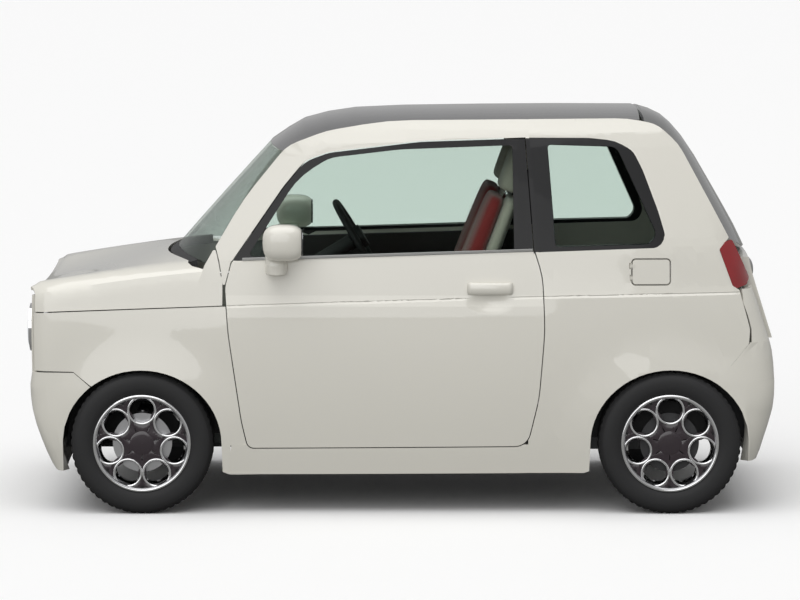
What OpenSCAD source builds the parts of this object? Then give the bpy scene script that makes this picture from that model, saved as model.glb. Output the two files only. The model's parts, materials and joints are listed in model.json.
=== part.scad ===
// Two-door electric city car. Millimetres, +X forward, +Y left, +Z up, ground at z = 0.

/* [Overall] */
// Length over the bumpers
length = 2860; // [2800:10:2920]
// Width over the flared arches
width = 1475; // [1450:5:1500]
// Height of the roof
height = 1515; // [1500:5:1540]
// Distance between the axles
wheelbase = 1995; // [1980:5:2010]
// Nose ahead of the front axle
front_overhang = 442; // [435:1:450]
// Distance between the wheel centre planes
track = 1285; // [1275:5:1290]

/* [Wheels] */
// Outside diameter of the tyres
tyre_d = 538; // [530:1:542]
// Width of the tyres
tyre_w = 155; // [145:5:160]
// Diameter of the rim's tyre seat
rim_d = 372; // [360:2:380]
// Number of oval openings in each wheel face
spoke_holes = 7; // [5:1:8]
// Half length of a wheel arch opening
arch_r = 303; // [298:1:308]
// Height of the arch opening above the axle
arch_rise = 281; // [279:1:286]
// Steering lock to each side, in degrees
steer_lock = 32; // [25:1:34]

/* [Body] */
// Height of the sills' lower edge
sill_z = 150; // [140:5:160]
// Height of the sills' upper edge below the doors
sill_top = 245; // [240:1:250]
// Height at which the body side stands out furthest
wide_z = 600; // [580:5:620]
// How far the sills tuck in
sill_tuck = 38; // [20:1:45]
// How far the side leans in at the belt line
waist_lean = 24; // [15:1:30]
// Height of the belt line at mid length
belt_z = 975; // [965:1:985]
// Height of the body crease at mid length
crease_z = 812; // [800:1:820]
// Standing out of the lower side below the crease
crease_step = 6; // [0:1:10]
// Standing out of the wheel arches
flare = 12; // [0:1:14]
// Plan taper of the nose
nose_taper = 42; // [30:1:50]
// Plan taper of the tail
tail_taper = 50; // [40:1:60]
// Corner radius of the nose in plan
nose_corner = 70; // [60:1:80]
// Corner radius of the tail in plan
tail_corner = 110; // [100:1:120]
// Bow of the nose and tail faces in plan
end_bow = 14; // [8:1:18]

/* [Panels] */
// Shut gap around doors, bonnet and tailgate
gap = 8; // [7:0.5:10]
// Thickness of the body side walls
wall_t = 55; // [45:1:60]
// Thickness of a door with its lining
door_t = 70; // [60:1:75]
// Thickness of an outer skin
skin_t = 10; // [8:1:12]
// Thickness of the window glass
glass_t = 6; // [5:0.5:8]
// Thickness of the roof with its lining
roof_t = 28; // [20:1:32]
// Thickness of the bumpers
bumper_t = 40; // [30:1:45]

/* [Hinges] */
// Radius of the hinge barrels
barrel_r = 9; // [8:0.5:10]
// Radius of the hinge pins
pin_r = 5; // [4:0.5:6]
// Running clearance around a hinge pin
pin_clearance = 0.3; // [0.2:0.05:0.5]
// Length of a hinge barrel
barrel_h = 30; // [24:1:36]

/* [Hidden] */
$fn = 48;
x_nose = length / 2;
x_tail = -length / 2;
axle_f = x_nose - front_overhang;
axle_r = axle_f - wheelbase;
wheel_z = tyre_d / 2;
wheel_y = track / 2;
half_w = width / 2 - flare;
roof_z = height;
eps = 0.01;

// Nose and tail profiles, lowest row first: [height, distance in from the end]
nose_rows = [[150, 100], [200, 70], [270, 43], [320, 25], [375, 10], [430, 2], [480, 0], [515, 2],
  [535, 8], [700, 6], [800, 9], [845, 12], [900, 40]];
tail_rows = [[190, 72], [225, 58], [279, 42], [330, 26], [372, 13], [431, 5], [490, 4], [564, 9],
  [617, 16], [652, 26], [725, 51], [814, 78], [866, 98], [1000, 130], [1040, 150]];

function nose_x(z) = x_nose - lookup(z, nose_rows);
function tail_x(z) = x_tail + lookup(z, tail_rows);
function nose_edge(z) = nose_x(z) - end_bow - nose_corner;
function tail_edge(z) = tail_x(z) + end_bow + tail_corner;
function belt(x) = belt_z - 0.0314 * x;
function crease(x) = crease_z - 0.0285 * x - 0.0000055 * x * x;
function ease(t) = let (u = min(1, max(0, t))) u * u * (3 - 2 * u);
function lerp(a, b, t) = a + (b - a) * t;
function steps(a, b, n) = [for (i = [0:n]) lerp(a, b, i / n)];

// Lean of the side wall inwards from its widest height
function upper_lean(h) = 0.24 * h + 0.00011 * h * h + (h > 400 ? 0.0021 * pow(h - 400, 2) : 0);
function lean(x, z) = let (b = belt(x))
  (z < wide_z ? sill_tuck * pow((wide_z - z) / (wide_z - sill_z), 2)
   : z < b ? waist_lean * pow((z - wide_z) / (b - wide_z), 2)
   : waist_lean + upper_lean(z - b))
  + crease_step * ease((z - crease(x)) / 14 + 0.5);
function taper(x) = (x > 0 ? nose_taper : tail_taper) * pow(abs(x) / (length / 2), 2.4);

// Flare around an arch: full at its edge, gone 120 mm further out
function arch_distance(x, z, axle) = norm([(x - axle) / arch_r, (max(z, wheel_z) - wheel_z) / arch_rise]);
function flare_at(x, z) = let (d = min(arch_distance(x, z, axle_f), arch_distance(x, z, axle_r)))
  flare * (1 - ease((d - 1) / 0.4));
function plain_side(x, z) = half_w - taper(x) - lean(x, z) + flare_at(x, z);

// The side surface, rounded into the nose and the tail in plan
function side_y(x, z) =
  let (xf = nose_edge(z), xr = tail_edge(z))
  x > xf ? plain_side(xf, z) - nose_corner + sqrt(max(0, pow(nose_corner, 2) - pow(x - xf, 2)))
  : x < xr ? plain_side(xr, z) - tail_corner + sqrt(max(0, pow(tail_corner, 2) - pow(xr - x, 2)))
  : plain_side(x, z);

// A path with its corners rounded, from rows of [x, z, corner radius]
function corner_arc(p, q, s, r) =
  let (a = (p - q) / norm(p - q), b = (s - q) / norm(s - q),
       half = acos(max(-1, min(1, a * b))) / 2,
       reach = r / tan(half),
       c = q + (a + b) / norm(a + b) * r / sin(half),
       v0 = q + a * reach - c, v1 = q + b * reach - c,
       t0 = atan2(v0[1], v0[0]), turn0 = atan2(v1[1], v1[0]) - t0,
       turn = turn0 > 180 ? turn0 - 360 : turn0 < -180 ? turn0 + 360 : turn0,
       n = max(2, ceil(abs(turn) / 12)))
  [for (i = [0:n]) c + r * [cos(t0 + turn * i / n), sin(t0 + turn * i / n)]];
function xz(row) = [row[0], row[1]];
function rounded(rows) = let (n = len(rows))
  [for (i = [0:n - 1]) each rows[i][2] == 0 ? [xz(rows[i])]
    : corner_arc(xz(rows[(i + n - 1) % n]), xz(rows[i]), xz(rows[(i + 1) % n]), rows[i][2])];

// A closed shell between two grids of points with the same rows and columns
module shell_between(outer, inner) {
  rows = len(outer);
  cols = len(outer[0]);
  total = rows * cols;
  function at(i, j) = i * cols + j;
  skin = [for (i = [0:rows - 2]) for (j = [0:cols - 2])
    each [[at(i, j), at(i + 1, j), at(i + 1, j + 1)], [at(i, j), at(i + 1, j + 1), at(i, j + 1)]]];
  back = [for (f = skin) [total + f[0], total + f[2], total + f[1]]];
  edge = concat([for (i = [0:rows - 1]) at(i, 0)], [for (j = [1:cols - 1]) at(rows - 1, j)],
    [for (i = [rows - 2:-1:0]) at(i, cols - 1)], [for (j = [cols - 2:-1:1]) at(0, j)]);
  m = len(edge);
  wall = [for (k = [0:m - 1]) let (a = edge[k], b = edge[(k + 1) % m])
    each [[a, total + a, total + b], [a, total + b, b]]];
  polyhedron(points = concat([for (r = outer) each r], [for (r = inner) each r]),
    faces = concat(skin, back, wall));
}

// A slab of the left body side between two depths under its surface
module side_slab(xs, zs, depth0, depth1) {
  shell_between([for (x = xs) [for (z = zs) [x, side_y(x, z) - depth0, z]]],
    [for (x = xs) [for (z = zs) [x, side_y(x, z) - depth1, z]]]);
}

// A prism through the left side over an outline in x and z
module through(outline) {
  rotate([90, 0, 0]) translate([0, 0, -width]) linear_extrude(width - 1) polygon(outline);
}

module both_sides() {
  children();
  mirror([0, 1, 0]) children();
}

// Outlines of the side, rows of [x, z, corner radius]
door_rows = [[648, 956, 0], [673, 860, 90], [661, 690, 900], [612, 352, 600], [588, sill_top + 4, 30],
  [-468, sill_top + 11, 60], [-512, 440, 500], [-533, 700, 800], [-524, 900, 300], [-496, 990, 0]];
frame_rows = [[650, 950, 0], [452, 1235, 300], [372, 1330, 120], [283, 1362, 150], [-63, 1403, 600],
  [-460, 1416, 0], [-492, 984, 0]];
door_glass_rows = [[592, 972, 15], [400, 1270, 300], [280, 1344, 150], [13, 1375, 600], [-414, 1391, 15],
  [-419, 997, 10]];
quarter_pane_rows = [[-476, 1417, 0], [-700, 1416, 300], [-800, 1406, 150], [-868, 1368, 70],
  [-905, 1295, 300], [-962, 1140, 500], [-988, 1050, 40], [-962, 1006, 40], [-508, 991, 0]];
quarter_glass_rows = [[-543, 1392, 12], [-806, 1384, 45], [-958, 1052, 40], [-925, 1020, 30],
  [-572, 1011, 15]];
side_rows = [[748, 940, 0], [600, 1190, 900], [440, 1385, 150], [290, 1440, 400], [60, 1478, 1200],
  [-850, 1486, 500], [-960, 1465, 120], [-1040, 1392, 200], [-1226, 1044, 0], [-1188, 1000, 12],
  [-1240, 862, 15], [-1266, 846, 0], [-1306, 700, 60], [-1302, 645, 25], [-1195, 515, 0],
  [axle_r, wheel_z, 0], [-682, sill_z + 6, 0], [660, sill_z, 0], [645, 300, 0], [660, 850, 0], [640, 930, 0]];
lamp_rows = [[-1194, 1001, 6], [-1215, 1027, 8], [-1240, 1034, 10], [-1309, 890, 12], [-1296, 868, 10],
  [-1254, 856, 8], [-1243, 866, 6]];
charge_rows = [[-860, 966, 14], [-860, 869, 14], [-1005, 869, 14], [-1005, 966, 14]];

module arch_cut(axle) {
  through([for (a = [0:6:360]) [axle + arch_r * cos(a), wheel_z + arch_rise * sin(a)]]);
  through([[axle - arch_r, wheel_z], [axle + arch_r, wheel_z], [axle + arch_r + 8, 0], [axle - arch_r - 8, 0]]);
}

module door_opening() {
  through_offset(door_rows, gap / 2);
  through_offset(frame_rows, gap / 2);
}

module through_offset(rows, by) {
  rotate([90, 0, 0]) translate([0, 0, -width]) linear_extrude(width - 1) offset(delta = by)
    polygon(rounded(rows));
}

// A wall of the body side: an outer skin over a thicker inner wall that stands back at the free edges
module side_wall(xs, zs, depth, edge_step) {
  intersection() {
    side_slab(xs, zs, 0, skin_t);
    through(rounded(side_rows));
  }
  intersection() {
    side_slab(xs, zs, skin_t - eps, depth);
    through_offset(side_rows, -edge_step);
  }
}

rail_step = 42;
// The seam between the pillar's foot and the bonnet is an arc about the bonnet's hinge, so they never meet
seam_r = 720;
function seam_arc(r, z0, z1) = [for (z = steps(z0, z1, 8))
  [bonnet_axis[0] - sqrt(r * r - pow(z - bonnet_axis[1], 2)), z]];
rear_split = -474;
sill_front = 655;

module rails() {
  color("ivory") both_sides() difference() {
    side_wall(steps(rear_split + 1, 760, 16), steps(935, 1492, 12), 48, rail_step);
    door_opening();
    bonnet_sweep();
  }
  color("ivory") both_sides() difference() {
    intersection() {
      side_slab(steps(630, 740, 6), steps(foot_low, 960, 6), 0, skin_t);
      through([[640, foot_low], [720, foot_low], [735, 958], [630, 958]]);
    }
    door_opening();
    bonnet_sweep();
  }
}
foot_low = 872;
module bonnet_sweep() {
  through(concat(seam_arc(seam_r + gap, 1025, 800), [[900, 800], [900, 1025]]));
}

module sills() {
  color("ivory") both_sides() difference() {
    side_wall(steps(rear_split + 0.4, sill_front, 10), steps(sill_z - 5, 262, 4), wall_t, 0);
    door_opening();
  }
}

module charge_hinge_place() {
  translate([charge_axis[0], charge_axis[1], 0]) children();
}

charge_gap = 5.5;
charge_t = 6;
charge_depth = 26;
charge_pin_r = 2;
charge_barrel_r = 4.5;
charge_axis = [charge_rows[0][0] + charge_gap / 2, side_y(charge_rows[0][0], 918) - 3];
charge_hinge_z = [895, 940];
charge_barrel_h = 12;

module left_quarter_wall() {
  difference() {
    side_wall(concat(steps(-1312, -1180, 5), steps(-1150, rear_split, 15)), steps(sill_z, 1492, 24), wall_t, 0);
    door_opening();
    arch_cut(axle_r);
    through(rounded(quarter_glass_rows));
    intersection() {
      side_slab(steps(-1010, rear_split + 20, 8), steps(970, 1440, 6), -20, glass_t + 1);
      through_offset(quarter_pane_rows, 1);
    }
    upper_cut();
    intersection() {
      side_slab(steps(-1330, -1160, 8), steps(470, 1040, 12), skin_t, wall_t + 60);
      through([[-1165, 480], [-1230, 600], [-1215, 1035], [-1400, 1035], [-1400, 480]]);
    }
  }
}

// Room for the roof, tailgate and glass behind the skin of the upper edge
module upper_cut() {
  intersection() {
    side_slab(steps(-1320, rear_split + 20, 18), steps(1000, 1500, 14), skin_t, wall_t + 60);
    difference() {
      through_offset(side_rows, 5);
      through_offset(side_rows, -rail_step);
      through([[-1400, 1000], [-1170, 1000], [-1100, 1100], [-1000, 1010], [-1000, 0], [-1400, 0]]);
    }
  }
}

module left_quarter() {
  color("ivory") difference() {
    left_quarter_wall();
    intersection() {
      side_slab(steps(-1016, -845, 4), steps(860, 975, 3), -20, charge_depth);
      through_offset(charge_rows, charge_gap / 2);
    }
    for (z = charge_hinge_z) charge_hinge_place() translate([0, 0, z - charge_barrel_h / 2 - 6])
      cylinder(r = charge_barrel_r + 2.5, h = charge_barrel_h + 12);
  }
  color("silver") for (z = charge_hinge_z) charge_hinge_place() {
    translate([0, 0, z - charge_barrel_h / 2 - 6.5]) cylinder(r = charge_pin_r, h = charge_barrel_h + 13);
  }
}

module right_quarter() {
  color("ivory") mirror([0, 1, 0]) left_quarter_wall();
}

module charge_lid() {
  color("ivory") difference() {
    union() {
      intersection() {
        side_slab(steps(-1012, -850, 4), steps(862, 972, 3), 0.5, charge_t);
        through_offset(charge_rows, -charge_gap / 2);
      }
      for (z = charge_hinge_z) charge_hinge_place() translate([0, 0, z - charge_barrel_h / 2]) {
        cylinder(r = charge_barrel_r, h = charge_barrel_h);
        translate([-14, -2, 0]) cube([14, 4, charge_barrel_h]);
      }
    }
    for (z = charge_hinge_z) charge_hinge_place() translate([0, 0, z - charge_barrel_h])
      cylinder(r = charge_pin_r + pin_clearance, h = 2 * charge_barrel_h);
  }
}

module wings() {
  color("ivory") both_sides() difference() {
    intersection() {
      side_slab(concat(steps(580, 1340, 20), steps(1358, 1412, 4)), steps(sill_z - 5, 800, 16), 0, skin_t + 2);
      through(wing_outline());
    }
    through_offset(door_rows, gap / 2);
    arch_cut(axle_f);
  }
}
liner_t = 6;
function wing_outline() = concat(
  [for (x = steps(nose_x(760) - 26, 655, 12)) [x, crease(x) - gap / 2]],
  [[600, 500], [590, 330], [580, sill_top + 17.6], [sill_front + 0.6, sill_top + 17.6], [sill_front + 0.6, sill_z],
   [axle_f, wheel_z], [1178, 484 + gap / 2],
   [1246, 538 + gap / 2], [nose_x(540) - 26, 540 + gap / 2]]);

module quarter_glass() {
  color("#30353a") both_sides() intersection() {
    side_slab(steps(-1010, rear_split + 2, 10), steps(970, 1440, 8), 0, glass_t);
    through(rounded(quarter_pane_rows));
  }
}

// Left door: outer skin, inner block behind the hinge, hinge barrels with their pins
hinge_x = 565;
hinge_in = 24;
hinge_y = side_y(hinge_x, wide_z) - hinge_in;
hinge_z = [480, 720];
block_front = hinge_x - 20;

module left_door() {
  color("ivory") {
    intersection() {
      side_slab(steps(-540, 680, 20), steps(240, 1000, 18), 0, skin_t);
      through_offset(door_rows, -gap / 2);
    }
    intersection() {
      side_slab(steps(-540, block_front, 12), steps(250, 1000, 8), skin_t - eps, door_t);
      through_offset(door_rows, -gap / 2 - 12);
    }
    for (z = hinge_z) translate([hinge_x, hinge_y, z + pin_clearance]) {
      cylinder(r = barrel_r, h = barrel_h);
      translate([block_front - hinge_x - 5, -5, 0]) cube([hinge_x - block_front + 5, 10, barrel_h]);
      translate([0, 0, -barrel_h]) cylinder(r = pin_r, h = barrel_h + 1);
    }
    door_frame();
    intersection() {
      side_slab(steps(-440, 560, 10), steps(900, 1010, 3), 24, 34);
      through([[560, belt(560) - 50], [560, belt(560) + 14], [-410, belt(-410) + 4], [-410, belt(-410) - 50]]);
    }
  }
}

module door_frame() {
  difference() {
    intersection() {
      side_slab(steps(-500, 660, 18), steps(940, 1425, 10), 0, 36);
      through_offset(frame_rows, -gap / 2);
    }
    through(rounded(door_glass_rows));
    through([[700, 900], [700, belt(700) - 1], [-560, belt(-560) - 1], [-560, 900]]);
    through_offset(door_rows, -gap / 2 + 0.2);
    intersection() {
      side_slab(steps(-500, 660, 12), steps(940, 1425, 8), 15, 15 + glass_t);
      through_offset(door_glass_rows, 8.2);
    }
  }
}

module left_door_glass() {
  color("#9fb0a8") intersection() {
    side_slab(steps(-500, 660, 12), steps(940, 1425, 8), 15.2, 14.8 + glass_t);
    through_offset(door_glass_rows, 8);
  }
}

// Door mirror: a rounded head on a short foot
mirror_head = [158, 118, 138];
mirror_at = [448, side_y(448, 960) + 95, 1036];
module left_mirror() {
  color("ivory") {
    translate(mirror_at) hull() for (sx = [-1, 1], sy = [-1, 1], sz = [-1, 1])
      translate([sx * (mirror_head[0] / 2 - 34), sy * (mirror_head[1] / 2 - 34), sz * (mirror_head[2] / 2 - 34)])
        sphere(r = 34, $fn = 16);
    hull() {
      translate([482, side_y(482, 907) + 6.6, 922]) cube([50, 12, 30], center = true);
      translate([mirror_at[0] + 28, mirror_at[1] - 30, mirror_at[2] - mirror_head[2] / 2 + 8])
        cube([54, 40, 12], center = true);
    }
  }
}

module at_right() { mirror([0, 1, 0]) children(); }

// A crowned panel across the car from rows of [centre x, centre z, side x, side z]
function crown_row(row, power, inset, n) = let (ys = side_y(row[2], row[3]) - inset)
  [for (j = [-n:n]) let (u = j / n, f = 1 - pow(abs(u), power))
    [lerp(row[2], row[0], f), ys * u, lerp(row[3], row[1], f)]];
module crown(rows, power, inset, depths, n = 7) {
  grid = [for (r = rows) crown_row(r, power, inset, n)];
  shell_between(grid, [for (i = [0:len(rows) - 1]) [for (p = grid[i]) p + depths[i]]]);
}
function same_depth(rows, depth) = [for (r = rows) depth];

edge_inset = skin_t + 1.5;
// Rows of [centre x, centre z, side x, side z]
roof_rows = [[518, roof_z - 135, 452, roof_z - 152], [455, roof_z - 92, 418, roof_z - 122],
  [390, roof_z - 54, 362, roof_z - 100], [300, roof_z - 30, 282, roof_z - 73], [190, roof_z - 14, 180, roof_z - 54],
  [0, roof_z - 6, 0, roof_z - 41], [-300, roof_z - 2, -300, roof_z - 35], [-600, roof_z, -600, roof_z - 32],
  [-906, roof_z - 1, -896, roof_z - 33]];
roof_depths = [for (i = [0:8]) [i == 0 ? -22 : i == 1 ? -12 : i == 8 ? 14 : 0, 0, i == 0 ? -18 : -roof_t]];
screen_rows = [[881, 976, 739, 949], [800, 1068, 672, 1071], [700, 1180, 588, 1192], [600, 1290, 505, 1293],
  [521, roof_z - 139, 455, roof_z - 156]];
gate_rows = [[-923, roof_z - 2, -913, 1478], [-967, 1500, -950, 1461], [-1009, 1480, -984, 1440],
  [-1040, 1454, -1018, 1410], [-1082, 1406, -1056, 1358], [-1134, 1329, -1100, 1284], [-1186, 1240, -1142, 1206],
  [-1237, 1152, -1180, 1134], [-1290, 1058, -1208, 1078], [-1330, 975, -1226, 1042]];

module roof_panel() {
  color("#222428") crown(roof_rows, 2.6, edge_inset, roof_depths);
  color("dimgray") for (s = [-1, 1], e = [-1, 1])
    translate([gate_axis[0], s * gate_hinge_y + e * lug_off, gate_axis[1]]) rotate([90, 0, 0]) difference() {
      union() {
        cylinder(r = lug_r, h = lug_w, center = true);
        translate([0, 0, -lug_w / 2]) linear_extrude(lug_w) polygon(gate_bracket);
      }
      cylinder(r = lug_pin_r + pin_clearance, h = 2 * lug_w, center = true);
    }
}
gate_bracket = [[0, 0], [0, -46], [52, -46], [52, 12], [41, 12], [41, -38], [8, -38], [8, -2]];
module windscreen() { color("#9fb0a8") crown(screen_rows, 2.2, edge_inset, same_depth(screen_rows, [-7, 0, -7])); }

// Tailgate: dark glass above, a painted panel below it, hinged along the roof's rear edge
gate_axis = [-930, 1480];
gate_hinge_y = 250;
gate_y = skin_t + gap;
gate_zs = [963, 900, 830, 760, 700, 655];
function gate_half(z) = lerp(545, 568, (z - gate_zs[5]) / (gate_zs[0] - gate_zs[5]));
function gate_point(u, z, d) = [tail_x(z) - 20 * (1 - u * u) * ease((z - 700) / 200) + d, u * gate_half(z), z];
module tailgate_glass() {
  color("#222428") crown(gate_rows, 2.4, gate_y, same_depth(gate_rows, gate_depth));
}

// Inner frame of the tailgate just under the glass, between two shares of its half width
gate_depth = [10, 0, -10];
frame_clear = [11.2, 0, -11.2];
frame_depth = [30, 0, -30];
function gate_strip(rows, u0, u1, n, depth) = [for (r = rows)
  let (ys = side_y(r[2], r[3]) - gate_y) [for (k = [0:n]) let (u = lerp(u0, u1, k / n), f = 1 - pow(abs(u), 2.4))
    [lerp(r[2], r[0], f), ys * u, lerp(r[3], r[1], f)] + depth]];
gate_foot = [[-1318, 948, -1262, 948]];
module gate_bar(rows, u0, u1, n) {
  shell_between(gate_strip(rows, u0, u1, n, frame_clear), gate_strip(rows, u0, u1, n, frame_depth));
}
module tailgate() {
  color("ivory") {
    shell_between([for (z = gate_zs) [for (u = steps(-1, 1, 8)) gate_point(u, z, 0)]],
      [for (z = gate_zs) [for (u = steps(-1, 1, 8)) gate_point(u, z, 45)]]);
    for (u = [-0.93, 0.8]) gate_bar(concat([for (i = [1:9]) gate_rows[i]], gate_foot), u, u + 0.13, 1);
    gate_bar([for (i = [1:3]) gate_rows[i]], -0.93, 0.93, 10);
    for (s = [-1, 1]) translate([gate_axis[0], s * gate_hinge_y, gate_axis[1]]) {
      rotate([90, 0, 0]) cylinder(r = lug_r, h = 40, center = true);
      rotate([90, 0, 0]) cylinder(r = lug_pin_r, h = 2 * (lug_off + lug_w / 2), center = true);
      translate([-20, -20, -24]) cube([20, 40, 19]);
    }
  }
}
// Bonnet: crowned top with raised crests, rolled over into skirts down to the shut line
crest_y = 590;
bonnet_t = 12;
bonnet_front = nose_x(845) - 4;
bonnet_back = 684;
function bonnet_share(x) = max(0, x - bonnet_back) / (bonnet_front - bonnet_back);
function crest_z(x) = lerp(962, 868, pow(bonnet_share(x), 1.35));
function bonnet_mid(x) = lerp(1024, 838, pow(bonnet_share(x), 0.9));
roll = 64;
bonnet_angles = [22, 45, 68, 90];
bonnet_shoulder = 815;
function bonnet_rear(u) = lerp(925, bonnet_shoulder, pow(u, 2.2));
function bonnet_cross(t, d) =
  let (top = [for (j = [0:6]) let (u = j / 6, x = lerp(bonnet_rear(u), bonnet_front, t))
         [x, crest_y * u, lerp(bonnet_mid(x), crest_z(x), u * u) - d - 16 * ease((t - 0.93) / 0.07)]],
       over = [for (a = bonnet_angles) let (x = lerp(lerp(bonnet_shoulder, bonnet_back, pow(sin(a), 6)), bonnet_front - 24 * sin(a), t), zc = crest_z(x),
         ys = side_y(x, zc - roll))
         [x, crest_y + (ys - crest_y) * sin(a) - d * sin(a), zc - roll * (1 - cos(a)) - d * cos(a) - 16 * cos(a) * ease((t - 0.93) / 0.07)]],
       skirt = [for (k = [1:3]) let (x = lerp(bonnet_back, bonnet_front - 24, t), z0 = crest_z(x) - roll,
         z = lerp(z0, crease(x) + gap / 2, k / 3))
         [x, side_y(x, z) - d, z]])
  concat(top, over, skirt);
function both_halves(pts) = concat([for (i = [len(pts) - 1:-1:1]) [pts[i][0], -pts[i][1], pts[i][2]]], pts);
bonnet_steps = [1, 0.97, 0.94, 0.9, 0.82, 0.7, 0.55, 0.4, 0.25, 0.12, 0];
bonnet_axis = [bonnet_front - 10, 808];
bonnet_hinge_y = 200;
lug_r = 6;
lug_pin_r = 3;
lug_w = 12;
lug_off = 27;
module bonnet() {
  color("ivory") {
    difference() {
      shell_between([for (t = bonnet_steps) both_halves(bonnet_cross(t, 0))],
        [for (t = bonnet_steps) both_halves(bonnet_cross(t, bonnet_t))]);
      for (s = [-1, 1], e = [-1, 1])
        translate([bonnet_axis[0] - 14, s * bonnet_hinge_y + e * lug_off - lug_w / 2 - 1.5, bonnet_axis[1] - 20])
          cube([60, lug_w + 3, 28]);
    }
    both_sides() intersection() {
      side_slab(steps(670, 790, 8), steps(878, 1006, 8), 0, skin_t);
      through(concat([[770, 880], [748, 940], [716, 996]], seam_arc(seam_r, 998, 880)));
    }
    for (s = [-1, 1]) translate([bonnet_axis[0], s * bonnet_hinge_y, bonnet_axis[1]]) {
      rotate([90, 0, 0]) cylinder(r = lug_r, h = 40, center = true);
      rotate([90, 0, 0]) cylinder(r = lug_pin_r, h = 2 * (lug_off + lug_w / 2), center = true);
      translate([-lug_r, -20, 0]) cube([2 * lug_r - 2, 40, 12]);
    }
  }
}

// Plan outline of an end of the car at one height, from the left side to the middle, d under the surface
function end_plan(edge, dir, r, ys, from, z, d) =
  let (start = max(0, (from - edge) * dir), a0 = start > 0 ? asin(min(1, start / r)) : 0)
  concat([for (k = [0:2]) let (a = a0 + k, x = lerp(from, edge, k / 3))
      start > 0 ? [edge + dir * (r - d) * sin(a), ys - r + (r - d) * cos(a)] : [x, side_y(x, z) - d]],
    [for (a = steps(start > 0 ? a0 + 3 : 0, 90, 5)) [edge + dir * (r - d) * sin(a), ys - r + (r - d) * cos(a)]],
    [for (k = [1:3]) let (y = (ys - r) * (1 - k / 3)) [edge + dir * (r - d + end_bow * (1 - pow(1 - k / 3, 2))), y]]);
function nose_plan(z, from, d) =
  end_plan(nose_edge(z), 1, nose_corner, plain_side(nose_edge(z), z), from, z, d);
function tail_plan(z, from, d) =
  end_plan(tail_edge(z), -1, tail_corner, plain_side(tail_edge(z), z), from, z, d);
function wrap(half, z) = concat([for (p = half) [p[0], p[1], z]],
  [for (i = [len(half) - 2:-1:0]) [half[i][0], -half[i][1], z]]);

// Where a bumper starts: along the arch, then along its seam
function arch_half(z) = arch_r * sqrt(max(0.02, 1 - pow(max(0, z - wheel_z) / arch_rise, 2)));
function front_from(z) = z < 484 ? axle_f + arch_half(z) : 1183 + (z - 484) * 1.26;
function rear_from(z) = z < 515 ? min(axle_r - arch_half(z), -1195.3 + (515 - z) * 0.764)
  : -1195.3 - (z - 515) * 0.823 - min(6, (z - 515) * 0.15);
front_bumper_zs = [534, 483, 465, 440, 412, 385, 330, 280, 230, 185, sill_z + 10];
module front_bumper() {
  color("ivory") difference() {
    shell_between([for (z = front_bumper_zs) wrap(nose_plan(z, front_from(z), 0), z)],
      [for (z = front_bumper_zs) wrap(nose_plan(z, front_from(z), bumper_t), z)]);
    translate([x_nose - 200, -330, 250]) cube([300, 660, 95]);
    translate([x_nose - 100, tow_y, tow_z]) rotate([0, 90, 0]) cylinder(r = tow_r + 6, h = 200);
  }
}

rear_bumper_zs = [195, 230, 280, 330, 385, 412, 440, 465, 489, 497, 505, 515, 560, 610, 648];
module rear_bumper() {
  color("ivory") difference() {
    shell_between([for (z = rear_bumper_zs) wrap(tail_plan(z, rear_from(z), 0), z)],
      [for (z = rear_bumper_zs) wrap(tail_plan(z, rear_from(z), bumper_t), z)]);
    translate([x_tail - 20, -plate_w / 2, 345]) cube([36, plate_w, plate_h]);
    for (s = [-1, 1]) translate([x_tail - 20, s * plate_holes / 2, 345 + plate_h - 20]) rotate([0, 90, 0])
      cylinder(r = plate_hole_r, h = 100);
  }
  color("ivory") both_sides() rear_corner();
}

// Body corner below the tail lamp, between the quarter and the tailgate
module rear_corner() {
  corner_zs = [648.5, 700, 750, 800, 848, 853, 857];
  shell_between([for (z = corner_zs) corner_plan(z, 0)], [for (z = corner_zs) corner_plan(z, 12)]);
}
function corner_plan(z, d) = let (r = tail_corner, xr = tail_edge(z), ys = plain_side(xr, z),
    x0 = z < 850 ? lerp(-1317, -1278, ease((z - 690) / 150)) : lerp(-1321, -1272, max(0, z - 890) / 126),
    a0 = asin(min(1, max(0, (xr - x0) / r))),
    y1 = gate_half(z) + gap + 5, a1 = max(a0 + 4, acos(max(0, min(1, (y1 - ys + r) / r)))))
  concat([for (i = [0:5]) let (a = lerp(a0, a1, i / 5)) [xr - (r - d) * sin(a), ys - r + (r - d) * cos(a), z]],
    [[xr - (r - d) * sin(a1), min(y1, ys - r + (r - d) * cos(a1)) - 0.5, z]]);

// Nose panel between the bumper and the bonnet, with lamp holes
lamp_y = 500;
lamp_z = 690;
lamp_r = 92;
nose_shares = [1, 0.9, 0.7, 0.4, 0.15, 0];
nose_low = 534.5;
nose_t = 14;
function nose_top(y) = lerp(792, 824, pow(min(1, abs(y) / crest_y), 2));
function nose_row(k, d) = let (zn = lerp(nose_low, 800, k))
  [for (p = wrap(nose_plan(zn, nose_x(zn) - 18, d), zn)) [p[0], p[1], lerp(nose_low, nose_top(p[1]), k)]];
module nose_panel() {
  color("ivory") difference() {
    shell_between([for (k = nose_shares) nose_row(k, 0)], [for (k = nose_shares) nose_row(k, nose_t)]);
    both_sides() translate([x_nose - 120, lamp_y, lamp_z]) rotate([0, 90, 0]) cylinder(r = lamp_r, h = 200);
    translate([x_nose - 120, -grille_w / 2 - 0.3, grille_z - grille_h / 2 - 0.3])
      cube([200, grille_w + 0.6, grille_h + 0.6]);
  }
  color("dimgray") for (s = [-1, 1], e = [-1, 1]) translate([bonnet_axis[0], s * bonnet_hinge_y + e * lug_off, bonnet_axis[1]])
    difference() {
      union() {
        rotate([90, 0, 0]) cylinder(r = lug_r, h = lug_w, center = true);
        translate([-lug_r, -lug_w / 2, -21]) cube([2 * lug_r + 3, lug_w, 21]);
      }
      rotate([90, 0, 0]) cylinder(r = lug_pin_r + pin_clearance, h = 2 * lug_w, center = true);
    }
}

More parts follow.
